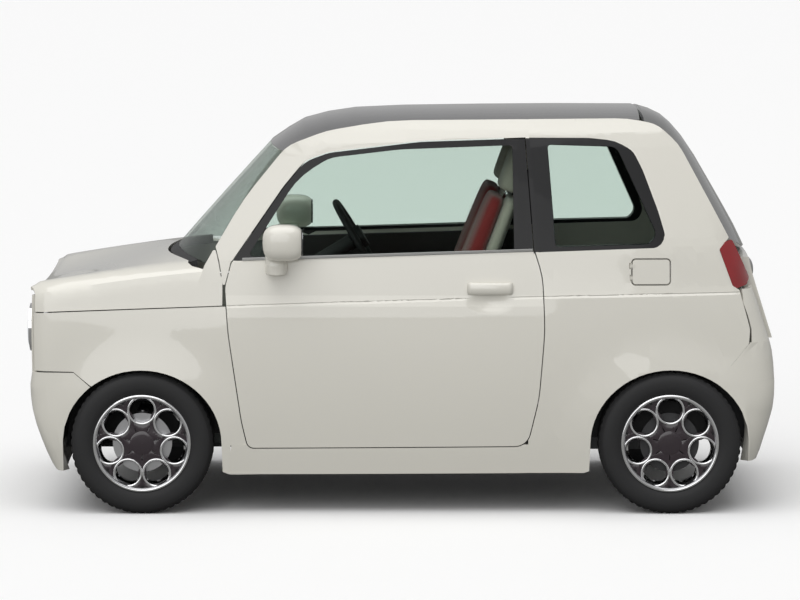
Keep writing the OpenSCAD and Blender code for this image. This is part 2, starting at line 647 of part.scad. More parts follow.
grille_w = 620;
grille_h = 210;
grille_z = 680;
grille_bars = 6;
module grille() {
  color("silver") translate([nose_x(grille_z) - 24, 0, grille_z]) {
    rotate([90, 0, 90]) linear_extrude(30) difference() {
      square([grille_w, grille_h], center = true);
      square([grille_w - 36, grille_h - 36], center = true);
    }
    for (k = [1:grille_bars]) translate([4, -grille_w / 2 + 10, lerp(-grille_h / 2 + 18, grille_h / 2 - 18, k / (grille_bars + 1)) - 5])
      cube([12, grille_w - 20, 10]);
  }
}

module headlamps() {
  color("whitesmoke") both_sides() translate([nose_x(lamp_z) - 36, lamp_y, lamp_z]) rotate([0, 90, 0]) {
    cylinder(r = lamp_r - 1, h = 36);
    cylinder(r = lamp_r - 22, h = 41);
  }
}

lamp_t = 8;
module tail_lamps() {
  color("firebrick") both_sides() intersection() {
    side_slab(steps(-1312, -1185, 10), steps(850, 1040, 8), -2, lamp_t);
    through_offset(lamp_rows, 2.4);
  }
}

// Blank number plates on the bumpers
plate_w = 330;
plate_h = 165;
plate_holes = 210;
plate_hole_r = 3.2;

// Black scuttle between bonnet and windscreen
screen_half = side_y(screen_rows[0][2], screen_rows[0][3]) - edge_inset;
module cowl() {
  color("#1b1c1e") shell_between([for (k = [1, 0]) [for (j = [-6:6]) cowl_point(j / 7, k, 0)]],
    [for (k = [1, 0]) [for (j = [-6:6]) cowl_point(j / 7, k, 30)]]);
}
function cowl_point(u, k, d) = let (f = 1 - pow(abs(u), 2.2), y = screen_half * u)
  [lerp(lerp(screen_rows[0][2], screen_rows[0][0], f) + 0.3, bonnet_rear(abs(y) / crest_y) - gap - 2, k), y,
   lerp(screen_rows[0][3], screen_rows[0][1], f) - 0.7 - k * lerp(24, 8, abs(u)) - d];

// Threaded hole for a towing eye, behind a hole in the bumper
tow_y = 300;
tow_z = 440;
tow_r = 8;
nose_plate_x = 1348.5;

// Floor with hinge pillars, bulkhead, nose tray and raised load floor
floor_z = 245;
floor_t = 30;
cabin_half = 634;
bay_half = 409;
pillar = [552, 530, 90, 68];
bulkhead_x = 640;
load_half = 535;
load_z = 450;
// Jack pads under the floor, each a boss with its own flat face
jack_xs = [450, -550];
jack_y = 520;
jack_r = 30;
jack_drop = 12;
module floor_pan() {
  color("dimgray") {
    both_sides() for (x = jack_xs) translate([x, jack_y, floor_z - floor_t - jack_drop])
      cylinder(r = jack_r, h = jack_drop + 1);
    translate([-690, -cabin_half, floor_z - floor_t]) cube([bulkhead_x + 15 + 690, 2 * cabin_half, floor_t]);
    translate([bulkhead_x, -530, floor_z - 1]) cube([15, 1060, 690]);
    difference() {
      translate([bulkhead_x + 10, -bay_half, 215]) cube([1300 - bulkhead_x - 10, 2 * bay_half, 15]);
      both_sides() translate([axle_f - 40.3, bay_half - 80.3, 200]) cube([80.6, 60.6, 50]);
    }
    translate([1285, -bay_half, 215]) cube([15, 2 * bay_half, 140]);
    translate([1285, -bay_half, 340]) cube([nose_plate_x + 15 - 1285, 2 * bay_half, 15]);
    difference() {
      translate([nose_plate_x, -bay_half, 341]) cube([15, 2 * bay_half, 434]);
      translate([1300, tow_y, tow_z]) rotate([0, 90, 0]) cylinder(r = tow_r, h = 100);
    }
    both_sides() translate([80, cabin_half - 1, floor_z - floor_t])
      cube([40, side_y(100, floor_z - floor_t) - wall_t - 0.6 - cabin_half + 1, floor_t]);
    translate([-694, -cabin_half, floor_z - floor_t]) cube([14, 2 * cabin_half, load_z - floor_z + floor_t]);
    translate([-1290, -load_half, load_z - 20]) cube([600, 2 * load_half, 20]);
    both_sides() translate([pillar[0], pillar[1], floor_z - 1]) cube([pillar[2], pillar[3], 680]);
    both_sides() for (z = hinge_z) difference() {
      union() {
        translate([hinge_x, hinge_y, z - barrel_h]) cylinder(r = barrel_r, h = barrel_h);
        translate([hinge_x - 10, pillar[1] + pillar[3] - 1, z - barrel_h])
          cube([20, hinge_y - pillar[1] - pillar[3], barrel_h]);
      }
      translate([hinge_x, hinge_y, z - barrel_h - 1]) cylinder(r = pin_r + pin_clearance, h = barrel_h + 2);
    }
  }
}

// Arch liners
front_liner_y = 415;
rear_liner_y = 541;
module liner(axle, inner_y, outer_y) {
  translate([axle, outer_y, wheel_z]) rotate([90, 0, 0]) intersection() {
    difference() {
      cylinder(r = arch_r + 1 + liner_t, h = outer_y - inner_y + liner_t);
      translate([0, 0, -1]) cylinder(r = arch_r + 1, h = outer_y - inner_y + 1);
    }
    translate([-500, 0, -1]) cube([1000, 500, 1000]);
  }
}
module wheel_houses() {
  color("#1b1c1e") both_sides() {
    difference() {
      liner(axle_f, front_liner_y, 636);
      translate([axle_f - 26, front_liner_y - 20, wheel_z + arm_drop - 14]) cube([52, 40, 28]);
    }
    difference() {
      liner(axle_r, rear_liner_y, 604);
      translate([axle_r, rear_liner_y - 20, wheel_z]) rotate([-90, 0, 0]) cylinder(r = 34, h = 40);
    }
  }
}

module battery() {
  color("darkslategray") translate([-480, -400, 165]) cube([960, 800, floor_z - floor_t - 165]);
}
module motor() {
  color("slategray") translate([axle_r + 40, -190, 175]) cube([240, 380, 255]);
}

// Front crossmember with upper and lower arms that hold the kingpins
arm_drop = 105;
kingpin_r = 12;
module front_crossmember() {
  color("#2c2e30") both_sides() {
    for (s = [-1, 1]) difference() {
      union() {
        translate([axle_f - 22, bay_half - 60, wheel_z + s * arm_drop - 10]) cube([44, wheel_y - bay_half + 60, 20]);
        translate([axle_f, wheel_y, wheel_z + s * arm_drop - 10]) cylinder(r = 24, h = 20);
      }
      translate([axle_f, wheel_y, wheel_z + s * arm_drop - 11]) cylinder(r = kingpin_r + pin_clearance, h = 22);
    }
    translate([axle_f - 40, bay_half - 80, wheel_z - arm_drop - 12]) cube([80, 60, 2 * arm_drop + 24]);
  }
}

hub_r = 25;
hub_end = wheel_y + 50;
disc_at = 25.5;
disc_r = 112;
module left_knuckle() {
  color("dimgray") {
    translate([axle_f, wheel_y, wheel_z - arm_drop - 14]) cylinder(r = kingpin_r, h = 2 * arm_drop + 28);
    translate([axle_f, wheel_y, wheel_z - arm_drop + 12]) cylinder(r = 26, h = 2 * arm_drop - 24);
    translate([axle_f, wheel_y, wheel_z]) rotate([-90, 0, 0]) cylinder(r = hub_r, h = hub_end - wheel_y);
    translate([axle_f, wheel_y + disc_at, wheel_z]) rotate([-90, 0, 0]) cylinder(r = disc_r, h = 8);
  }
}

module rear_axle() {
  color("#2c2e30") {
    translate([axle_r, 0, wheel_z]) rotate([90, 0, 0]) cylinder(r = 30, h = 2 * (wheel_y - 90), center = true);
    both_sides() translate([axle_r, wheel_y - 100, wheel_z]) rotate([-90, 0, 0]) cylinder(r = hub_r, h = hub_end - wheel_y + 100);
    both_sides() translate([axle_r, wheel_y + disc_at, wheel_z]) rotate([-90, 0, 0]) cylinder(r = disc_r, h = 8);
    both_sides() translate([axle_r - 30, 330, wheel_z]) cube([60, 60, load_z - 20 - wheel_z]);
  }
}

// Wheel face and rim, and the tyre, about the wheel's own axis with +Z outwards
rim_t = 9;
face_out = 58;
face_t = 14;
hole_mid = 122;
hole_half = [50, 48];
function oval(rx, ry) = [for (a = [0:15:345]) [rx * cos(a), ry * sin(a)]];
module rim() {
  color("silver") difference() {
    union() {
      rotate_extrude($fn = 72) polygon([[rim_d / 2 - rim_t, -68], [rim_d / 2, -68], [rim_d / 2, 70], [rim_d / 2 - 6, 74],
        [rim_d / 2 - rim_t - 8, 66], [rim_d / 2 - rim_t, 40]]);
      translate([0, 0, face_out - face_t]) cylinder(r = rim_d / 2 - rim_t + 2, h = face_t);
      translate([0, 0, 36]) cylinder(r = 52, h = face_out - 36);
    }
    for (k = [0:spoke_holes - 1]) rotate([0, 0, 90 + k * 360 / spoke_holes]) translate([hole_mid, 0, face_out - face_t - 1])
      linear_extrude(face_t + 2) polygon(oval(hole_half[0], hole_half[1]));
    translate([0, 0, 20]) cylinder(r = hub_r + pin_clearance, h = hub_end - wheel_y - 20 + 0.5);
  }
}
module tyre() {
  w = tyre_w / 2;
  r = tyre_d / 2;
  seat = rim_d / 2;
  color("#1a1a1b") rotate_extrude($fn = 96) polygon([[seat, -w + 14], [seat + 8, -w + 6], [r - 40, -w], [r - 16, -w + 5],
    [r - 5, -w + 16], [r, -w + 34], [r, w - 34], [r - 5, w - 16], [r - 16, w - 5], [r - 40, w], [seat + 8, w - 6],
    [seat, w - 14]]);
}
module place_wheel(axle, side) {
  translate([axle, side * wheel_y, wheel_z]) mirror([0, side < 0 ? 1 : 0, 0]) rotate([-90, 0, 0]) children();
}

// Dashboard with the steering column
dash_half = 522;
wheel_centre = [185, -330, 960];
column_tilt = 31;
column_r = 12;
module dashboard() {
  color("#26272a") {
    translate([0, dash_half, 0]) rotate([90, 0, 0]) linear_extrude(2 * dash_half)
      polygon([[bulkhead_x, 660], [bulkhead_x, 925], [560, 942], [470, 905], [440, 800], [480, 720], [560, 670]]);
    difference() {
      translate(wheel_centre) rotate([0, 90 + column_tilt, 0]) translate([0, 0, 24]) cylinder(r = 32, h = 360);
      translate([bulkhead_x, -600, 0]) cube([300, 600, 1200]);
    }
    translate(wheel_centre) rotate([0, 90 + column_tilt, 0]) translate([0, 0, -10]) cylinder(r = column_r, h = 60);
  }
}
module steering_wheel() {
  color("#26272a") translate(wheel_centre) rotate([0, 90 + column_tilt, 0]) difference() {
    union() {
      rotate_extrude($fn = 48) translate([168, 0]) circle(r = 14, $fn = 24);
      translate([0, 0, -30]) cylinder(r = 48, h = 48);
      for (a = [0, 90, 180]) rotate([0, 0, a + 90]) translate([40, -15, -10]) cube([124, 30, 16]);
    }
    translate([0, 0, -10.5]) cylinder(r = column_r + pin_clearance, h = 40);
  }
}

// Front seats: base, cushion, backrest and head restraint
seat_y = 305;
seat_base_h = 190;
cushion_z = 430;
cushion_top = 580;
back_foot = [-136, 540];
back_lean = 21;
back_h = 700;
head_h = 190;
module soft_box(x0, x1, z0, z1, half, r) {
  hull() for (x = [x0 + r, x1 - r], z = [z0 + r, z1 - r]) translate([x, 0, z]) rotate([90, 0, 0])
    cylinder(r = r, h = 2 * half, center = true, $fn = 24);
}
module left_seat() {
  color("#8c8478") translate([0, seat_y, 0]) {
    translate([back_foot[0] + 60, -170, floor_z]) cube([330, 340, seat_base_h]);
    soft_box(back_foot[0] - 30, back_foot[0] + 470, cushion_z, cushion_top, 230, 45);
    translate([back_foot[0], 0, back_foot[1]]) rotate([0, -back_lean, 0]) {
      soft_box(-70, 60, 0, back_h, 225, 45);
      soft_box(-55, 45, back_h + 10, back_h + 10 + head_h, 140, 40);
      for (s = [-1, 1]) translate([-5, s * 60, back_h - 40]) cylinder(r = 8, h = 80);
    }
  }
}

floor_pan();
wheel_houses();
battery();
motor();
front_crossmember();
rear_axle();
rails();
sills();
left_quarter();
right_quarter();
wings();
roof_panel();
windscreen();
quarter_glass();
cowl();
nose_panel();
grille();
headlamps();
front_bumper();
rear_bumper();
tail_lamps();
dashboard();
left_seat();
at_right() left_seat();  // right_seat
left_door();
at_right() left_door();  // right_door
left_door_glass();
at_right() left_door_glass();  // right_door_glass
left_mirror();
at_right() left_mirror();  // right_mirror
bonnet();
tailgate();
tailgate_glass();
charge_lid();
left_knuckle();
at_right() left_knuckle();  // right_knuckle
place_wheel(axle_f, 1) rim();  // front_left_rim
place_wheel(axle_f, -1) rim();  // front_right_rim
place_wheel(axle_r, 1) rim();  // rear_left_rim
place_wheel(axle_r, -1) rim();  // rear_right_rim
place_wheel(axle_f, 1) tyre();  // front_left_tyre
place_wheel(axle_f, -1) tyre();  // front_right_tyre
place_wheel(axle_r, 1) tyre();  // rear_left_tyre
place_wheel(axle_r, -1) tyre();  // rear_right_tyre
steering_wheel();
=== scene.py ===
# %% [markdown]
# # A compact two-door city car
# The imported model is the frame: every panel, wheel and hinge is already at its real size and place.
# This lesson dresses it. Panels get smooth shading and paint, wheels get their rings and tread,
# and the cabin gets cushions, so that the car looks as it does in a studio picture.

# %% Load the frame
import bpy
import bmesh
import json
import math
import numpy as np
from mathutils import Matrix, Vector
from mathutils.bvhtree import BVHTree


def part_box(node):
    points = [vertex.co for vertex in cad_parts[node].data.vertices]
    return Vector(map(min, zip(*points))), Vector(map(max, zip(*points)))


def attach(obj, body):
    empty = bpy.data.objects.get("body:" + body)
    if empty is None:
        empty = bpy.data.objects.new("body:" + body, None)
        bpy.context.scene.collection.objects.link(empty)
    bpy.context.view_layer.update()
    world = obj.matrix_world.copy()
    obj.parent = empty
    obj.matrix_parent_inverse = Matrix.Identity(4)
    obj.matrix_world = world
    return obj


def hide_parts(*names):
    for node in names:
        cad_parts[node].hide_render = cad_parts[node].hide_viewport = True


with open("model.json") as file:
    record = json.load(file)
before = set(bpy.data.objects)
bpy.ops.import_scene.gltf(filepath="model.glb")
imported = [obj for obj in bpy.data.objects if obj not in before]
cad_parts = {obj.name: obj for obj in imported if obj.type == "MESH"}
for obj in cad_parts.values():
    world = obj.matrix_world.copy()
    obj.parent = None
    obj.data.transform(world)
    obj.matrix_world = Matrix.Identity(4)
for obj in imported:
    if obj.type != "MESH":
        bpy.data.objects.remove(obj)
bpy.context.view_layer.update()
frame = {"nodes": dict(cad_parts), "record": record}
NODES = frame["nodes"]
BODY_OF = {}
for body_name, members in frame["record"]["behaviour"]["bodies"].items():
    for member in members:
        BODY_OF[member] = body_name
print("frame loaded:", len(NODES), "nodes")

# %% [markdown]
# ## Camera
# The picture was taken from far away with a long lens, a little above the roof and square to the side.
# A pitched camera with no shift gives the same view, and it can still be moved round the car.

# %% Camera
CAMERA_AWAY = 14.5
CAMERA_HEIGHT = 2.195
CAMERA_X = 0.013
CAMERA_PITCH = 5.72
FOCAL_PIXELS = 3684
PICTURE_WIDTH = 800
SENSOR = 36.0
FAR_CLIP = 2000
camera_data = bpy.data.cameras.new("camera")
camera_data.sensor_width = SENSOR
camera_data.lens = FOCAL_PIXELS * SENSOR / PICTURE_WIDTH
camera_data.clip_end = FAR_CLIP
camera = bpy.data.objects.new("camera", camera_data)
camera.location = (CAMERA_X, CAMERA_AWAY, CAMERA_HEIGHT)
camera.rotation_euler = (math.radians(90 - CAMERA_PITCH), 0, math.pi)
scene = bpy.context.scene
scene.collection.objects.link(camera)
scene.camera = camera
scene.view_settings.view_transform = "Standard"
print("lens", round(camera_data.lens, 1), "mm")

# %% [markdown]
# ## Light
# A studio for white cars is a white room with one broad soft light overhead and a weaker one by the
# camera. Area lamps would do too, but a sun lamp with a wide angle lights every pose and side evenly.
# The world is white for the camera and through the glass, and dimmer for everything else.

# %% Light
WORLD_FILL = 0.42
CAR_MIDDLE = Vector((0, 0, 0.7))
ROOF_LIGHT = 1.75
ROOF_LIGHT_AT = (0.6, 1.6, 6.0)
ROOF_SOFTNESS = 70
SIDE_LIGHT = 0.85
SIDE_LIGHT_AT = (2.5, 8.0, 2.6)
SIDE_SOFTNESS = 50


def wire(tree, source, output, target, socket):
    tree.links.new(source.outputs[output], target.inputs[socket])


def studio_world():
    world = bpy.data.worlds.new("white room")
    scene.world = world
    world.use_nodes = True
    tree = world.node_tree
    tree.nodes.clear()
    path = tree.nodes.new("ShaderNodeLightPath")
    seen = tree.nodes.new("ShaderNodeMath")
    seen.operation = "MAXIMUM"
    wire(tree, path, "Is Camera Ray", seen, 0)
    wire(tree, path, "Is Transmission Ray", seen, 1)
    bright = tree.nodes.new("ShaderNodeMapRange")
    bright.inputs["To Min"].default_value = WORLD_FILL
    bright.inputs["To Max"].default_value = 1.0
    wire(tree, seen, 0, bright, "Value")
    background = tree.nodes.new("ShaderNodeBackground")
    background.inputs["Color"].default_value = (1, 1, 1, 1)
    wire(tree, bright, "Result", background, "Strength")
    output = tree.nodes.new("ShaderNodeOutputWorld")
    wire(tree, background, "Background", output, "Surface")


def soft_light(name, place, strength, softness):
    """A lamp so wide that its shadows are soft, shining from a place towards the car."""
    data = bpy.data.lights.new(name, "SUN")
    data.energy = strength
    data.angle = math.radians(softness)
    light = bpy.data.objects.new(name, data)
    light.location = place
    light.rotation_euler = (CAR_MIDDLE - Vector(place)).to_track_quat("-Z", "Y").to_euler()
    scene.collection.objects.link(light)


studio_world()
soft_light("roof light", ROOF_LIGHT_AT, ROOF_LIGHT, ROOF_SOFTNESS)
soft_light("side light", SIDE_LIGHT_AT, SIDE_LIGHT, SIDE_SOFTNESS)
print("lights:", len(bpy.data.lights))

# %% [markdown]
# ## Shared shader groups
# Every finish has a slight change of tone, and plastic, rubber, castings and cloth also have a fine
# relief. Two groups give them: one turns noise into a bumped normal, the other into a colour that
# wanders between two tones. Each material places them with its own values.

# %% Shared shader groups


def group_with(name, inputs, outputs):
    group = bpy.data.node_groups.new(name, "ShaderNodeTree")
    for label, kind, value in inputs:
        socket = group.interface.new_socket(name=label, in_out="INPUT", socket_type=kind)
        if value is not None:
            socket.default_value = value
    for label, kind in outputs:
        group.interface.new_socket(name=label, in_out="OUTPUT", socket_type=kind)
    return group, group.nodes.new("NodeGroupInput"), group.nodes.new("NodeGroupOutput")


def grain_group():
    group, given, out = group_with(
        "fine grain",
        [("Scale", "NodeSocketFloat", 400.0), ("Depth", "NodeSocketFloat", 0.1)],
        [("Normal", "NodeSocketVector")])
    place = group.nodes.new("ShaderNodeTexCoord")
    noise = group.nodes.new("ShaderNodeTexNoise")
    noise.inputs["Detail"].default_value = 3
    bump = group.nodes.new("ShaderNodeBump")
    bump.inputs["Distance"].default_value = 0.001
    wire(group, place, "Object", noise, "Vector")
    wire(group, given, "Scale", noise, "Scale")
    wire(group, given, "Depth", bump, "Strength")
    wire(group, noise, "Fac", bump, "Height")
    wire(group, bump, "Normal", out, "Normal")
    return group


def tone_group():
    group, given, out = group_with(
        "wandering tone",
        [("Light", "NodeSocketColor", None), ("Dark", "NodeSocketColor", None),
         ("Scale", "NodeSocketFloat", 3.0)],
        [("Color", "NodeSocketColor")])
    place = group.nodes.new("ShaderNodeTexCoord")
    noise = group.nodes.new("ShaderNodeTexNoise")
    noise.inputs["Detail"].default_value = 4
    mix = group.nodes.new("ShaderNodeMix")
    mix.data_type = "RGBA"
    wire(group, place, "Object", noise, "Vector")
    wire(group, given, "Scale", noise, "Scale")
    wire(group, noise, "Fac", mix, "Factor")
    wire(group, given, "Dark", mix, "A")
    wire(group, given, "Light", mix, "B")
    wire(group, mix, "Result", out, "Color")
    return group


GRAIN = grain_group()
TONE = tone_group()
print("shader groups:", GRAIN.name, "and", TONE.name)

# %% [markdown]
# ## Finishes
# Every finish is one Principled shader. Constant values sit on its own sockets, and the two groups
# feed the colour and the normal.

# %% Finish makers
COAT_ROUGHNESS = 0.03


def finish(name, light, dark=None, rough=0.4, metal=0.0, coat=0.0, grain=0.0, grain_scale=900.0,
           tone_scale=3.0, sheen=0.0, ior=1.5):
    material = bpy.data.materials.new(name)
    material.use_nodes = True
    tree = material.node_tree
    shader = tree.nodes["Principled BSDF"]
    tone = tree.nodes.new("ShaderNodeGroup")
    tone.node_tree = TONE
    tone.inputs["Light"].default_value = (*light, 1)
    tone.inputs["Dark"].default_value = (*(dark or light), 1)
    tone.inputs["Scale"].default_value = tone_scale
    wire(tree, tone, "Color", shader, "Base Color")
    shader.inputs["Roughness"].default_value = rough
    shader.inputs["Metallic"].default_value = metal
    shader.inputs["Coat Weight"].default_value = coat
    shader.inputs["Coat Roughness"].default_value = COAT_ROUGHNESS
    shader.inputs["Sheen Weight"].default_value = sheen
    shader.inputs["IOR"].default_value = ior
    if grain:
        relief = tree.nodes.new("ShaderNodeGroup")
        relief.node_tree = GRAIN
        relief.inputs["Scale"].default_value = grain_scale
        relief.inputs["Depth"].default_value = grain
        wire(tree, relief, "Normal", shader, "Normal")
    material.diffuse_color = (*light, 1)
    return material


def window(name, tint, dark, share):
    """Thin glass: a tinted see-through layer under a mirror that grows towards grazing angles."""
    material = finish(name, dark, None, 0.02, coat=1.0)
    tree = material.node_tree
    clear = tree.nodes.new("ShaderNodeBsdfTransparent")
    clear.inputs["Color"].default_value = (*tint, 1)
    edge = tree.nodes.new("ShaderNodeLayerWeight")
    edge.inputs["Blend"].default_value = share
    mix = tree.nodes.new("ShaderNodeMixShader")
    wire(tree, edge, "Facing", mix, "Fac")
    wire(tree, clear, "BSDF", mix, 1)
    wire(tree, tree.nodes["Principled BSDF"], "BSDF", mix, 2)
    wire(tree, mix, "Shader", tree.nodes["Material Output"], "Surface")
    return material


print("finishes come with", len(GRAIN.nodes) + len(TONE.nodes), "group nodes")

# %% [markdown]
# ## The list of finishes
# Light and dark tones stand side by side, so that a change of colour is one line. The paint is an
# off-white under a clear coat, the wheel faces are nearly black, and the seats are red and cream.

# %% Finishes
PAINT = finish("pearl paint", (0.77, 0.75, 0.68), (0.75, 0.73, 0.66), 0.36, coat=1.0, tone_scale=1.2)
ROOF_BLACK = finish("roof black", (0.028, 0.028, 0.032), (0.02, 0.02, 0.023), 0.25, coat=1.0)
TRIM_BLACK = finish("trim black", (0.012, 0.012, 0.013), (0.008, 0.008, 0.009), 0.3, coat=0.1, ior=1.35)
PLASTIC = finish("black plastic", (0.03, 0.03, 0.031), (0.02, 0.02, 0.021), 0.6, grain=0.35,
                 grain_scale=1500)
SATIN = finish("satin trim", (0.42, 0.42, 0.41), (0.36, 0.36, 0.355), 0.3, metal=1.0)
CHROME = finish("chrome", (0.78, 0.78, 0.79), (0.72, 0.72, 0.73), 0.07, metal=1.0)
ALLOY = finish("silver alloy", (0.5, 0.5, 0.51), (0.44, 0.44, 0.45), 0.28, metal=1.0)
PLUM = finish("plum lacquer", (0.026, 0.015, 0.021), (0.018, 0.011, 0.016), 0.2, coat=0.6)
RUBBER = finish("tyre rubber", (0.016, 0.016, 0.017), (0.01, 0.01, 0.011), 0.7, grain=0.3,
                grain_scale=700)
CHASSIS = finish("chassis black", (0.03, 0.03, 0.032), (0.02, 0.02, 0.022), 0.55, grain=0.3,
                 grain_scale=300)
CAST = finish("cast block", (0.2, 0.205, 0.21), (0.15, 0.15, 0.16), 0.5, metal=0.7, grain=0.4,
              grain_scale=350)
STEEL = finish("brake steel", (0.42, 0.42, 0.43), (0.34, 0.34, 0.345), 0.32, metal=1.0)
GLASS = window("green glass", (0.86, 0.905, 0.88), (0.10, 0.12, 0.11), 0.10)
DARK_GLASS = window("dark glass", (0.30, 0.33, 0.33), (0.03, 0.035, 0.035), 0.35)
LAMP_LENS = finish("lamp lens", (0.82, 0.84, 0.86), (0.7, 0.72, 0.75), 0.08, coat=1.0, tone_scale=20)
LAMP_RED = finish("red lamp", (0.34, 0.006, 0.01), (0.2, 0.004, 0.006), 0.1, coat=1.0, tone_scale=14)
RED_CLOTH = finish("red cloth", (0.36, 0.03, 0.03), (0.25, 0.02, 0.022), 0.85, grain=0.8, sheen=0.4)
CREAM_CLOTH = finish("cream cloth", (0.62, 0.58, 0.5), (0.52, 0.48, 0.41), 0.85, grain=0.8, sheen=0.4)
DARK_CLOTH = finish("dark cloth", (0.05, 0.045, 0.045), (0.03, 0.028, 0.028), 0.9, grain=0.8, sheen=0.3)
MIRROR_GLASS = finish("mirror glass", (0.8, 0.82, 0.83), None, 0.02, metal=1.0)
print("finishes:", len(bpy.data.materials))

# %% [markdown]
# ## Floor
# The floor is one sheet that reaches far past the picture and keeps the shadow under the sills. It
# gives back less light than the camera sees of it, so that the lower panels shade off towards the
# ground as they do in the picture.

# %% Floor
FLOOR_REACH = 800
FLOOR_COLOUR = (0.97, 0.97, 0.97)
FLOOR_BOUNCE = (0.26, 0.26, 0.25)


def floor_finish():
    material = bpy.data.materials.new("studio floor")
    material.use_nodes = True
    tree = material.node_tree
    shader = tree.nodes["Principled BSDF"]
    shader.inputs["Roughness"].default_value = 0.9
    path = tree.nodes.new("ShaderNodeLightPath")
    mix = tree.nodes.new("ShaderNodeMix")
    mix.data_type = "RGBA"
    mix.inputs["A"].default_value = (*FLOOR_BOUNCE, 1)
    mix.inputs["B"].default_value = (*FLOOR_COLOUR, 1)
    wire(tree, path, "Is Camera Ray", mix, "Factor")
    wire(tree, mix, "Result", shader, "Base Color")
    return material


floor_mesh = bpy.data.meshes.new("floor")
floor_corners = [(x * FLOOR_REACH, y * FLOOR_REACH, 0) for x, y in ((-1, -1), (1, -1), (1, 1), (-1, 1))]
floor_mesh.from_pydata(floor_corners, [], [(0, 1, 2, 3)])
floor_mesh.materials.append(floor_finish())
floor = bpy.data.objects.new("floor", floor_mesh)
scene.collection.objects.link(floor)
print("floor reaches", FLOOR_REACH, "m each way")

# %% [markdown]
# ## Smooth panels from the frame's solids
# A pressed panel is smooth, but the frame's solid is a net of flat facets. A copy of the solid is
# merged, its long edges are divided, and each face's normal is blended with its neighbours' across
# every edge that isn't a real corner. The shape stays, and the shading becomes that of a pressing.

# %% Merge and divide
MERGE_WITHIN = 2e-5
THIN = 1e-5
DIVIDE_ROUNDS = 5


def divided(source, step, cuts):
    """A merged copy of a mesh, parted along the cuts, with no edge much longer than the step."""
    work = bmesh.new()
    work.from_mesh(source)
    bmesh.ops.remove_doubles(work, verts=work.verts, dist=MERGE_WITHIN)
    for (x0, z0), (x1, z1) in cuts:
        everything = list(work.verts) + list(work.edges) + list(work.faces)
        bmesh.ops.bisect_plane(work, geom=everything, dist=THIN, plane_co=(x0, 0, z0),
                               plane_no=Vector((z0 - z1, 0, x1 - x0)).normalized())
    bmesh.ops.dissolve_degenerate(work, edges=work.edges, dist=THIN)
    bmesh.ops.triangulate(work, faces=work.faces)
    for _ in range(DIVIDE_ROUNDS):
        long_edges = [e for e in work.edges if e.calc_length() > step]
        if not long_edges:
            break
        bmesh.ops.subdivide_edges(work, edges=long_edges, cuts=1, use_grid_fill=False)
        bmesh.ops.triangulate(work, faces=work.faces)
    return work


print("panels are merged within", MERGE_WITHIN, "m")

# %% [markdown]
# ## Blended normals
# Blender's own smooth shading weighs each corner alone, which shows as ripples on long thin triangles.
# Here each face first borrows from the faces across its smooth edges, a few times over, weighed by
# area. The corners that meet round a point without a real edge between them then share one normal.

# %% Blended normals
CORNER = math.cos(math.radians(27))
BLEND_ROUNDS = 14
SHARE_ROUNDS = 12
TINY = 1e-15


def smooth_pairs(corners, flat, points):
    """For each edge that isn't a corner, the two loops that start on it, and where every loop ends."""
    loops = np.arange(len(corners))
    loop_end = loops - loops % 3 + (loops + 1) % 3
    ends = np.sort(np.stack([corners[loops], corners[loop_end]], 1), 1)
    key = ends[:, 0] * (len(points) + 1) + ends[:, 1]
    order = np.argsort(key, kind="stable")
    same = key[order][1:] == key[order][:-1]
    first, second = order[:-1][same], order[1:][same]
    smooth = (flat[first // 3] * flat[second // 3]).sum(1) > CORNER
    return first[smooth], second[smooth], loop_end


def shared_labels(corners, first, second, loop_end):
    """A number for each loop, equal for those that meet at a point across smooth edges."""
    label = np.arange(len(corners))
    far_first, far_second = loop_end[first], loop_end[second]
    opposite = corners[first] == corners[far_second]
    near = (first, np.where(opposite, far_second, second))
    far = (far_first, np.where(opposite, second, far_second))
    for _ in range(SHARE_ROUNDS):
        for one, two in (near, far):
            low = np.minimum(label[one], label[two])
            np.minimum.at(label, one, low)
            np.minimum.at(label, two, low)
    return label


def blended_normals(mesh):
    count = len(mesh.polygons)
    corners = np.empty(count * 3, np.int64)
    mesh.loops.foreach_get("vertex_index", corners)
    tri = corners.reshape(-1, 3)
    points = np.empty(len(mesh.vertices) * 3)
    mesh.vertices.foreach_get("co", points)
    points = points.reshape(-1, 3)
    cross = np.cross(points[tri[:, 1]] - points[tri[:, 0]], points[tri[:, 2]] - points[tri[:, 0]])
    area = np.linalg.norm(cross, axis=1) + TINY
    flat = cross / area[:, None]
    first, second, loop_end = smooth_pairs(corners, flat, points)
    face_a, face_b = first // 3, second // 3
    normal = flat.copy()
    for _ in range(BLEND_ROUNDS):
        total = normal * area[:, None]
        np.add.at(total, face_a, normal[face_b] * area[face_b][:, None])
        np.add.at(total, face_b, normal[face_a] * area[face_a][:, None])
        normal = total / (np.linalg.norm(total, axis=1)[:, None] + TINY)
    label = shared_labels(corners, first, second, loop_end)
    total = np.zeros((count * 3, 3))
    np.add.at(total, label, np.repeat(normal * area[:, None], 3, 0))
    result = total[label]
    return result / (np.linalg.norm(result, axis=1)[:, None] + TINY)


print("normals are blended", BLEND_ROUNDS, "times")

# %% [markdown]
# ## Hems
# The frame leaves a wide gap between panels, so that doors and lids can swing. On the real car the edge
# of a panel is folded over, and only a fine dark line shows. Moving the outer edge alone gives that line
# and keeps the room behind it. The lid on the rear quarter has no hem, because it swings close by.

# %% Hems
LID_AT = (-0.932, 0.918)
LID_HALF = (0.085, 0.062)
HEM_ANGLE = 0.9
SKIN_FACING = 0.55


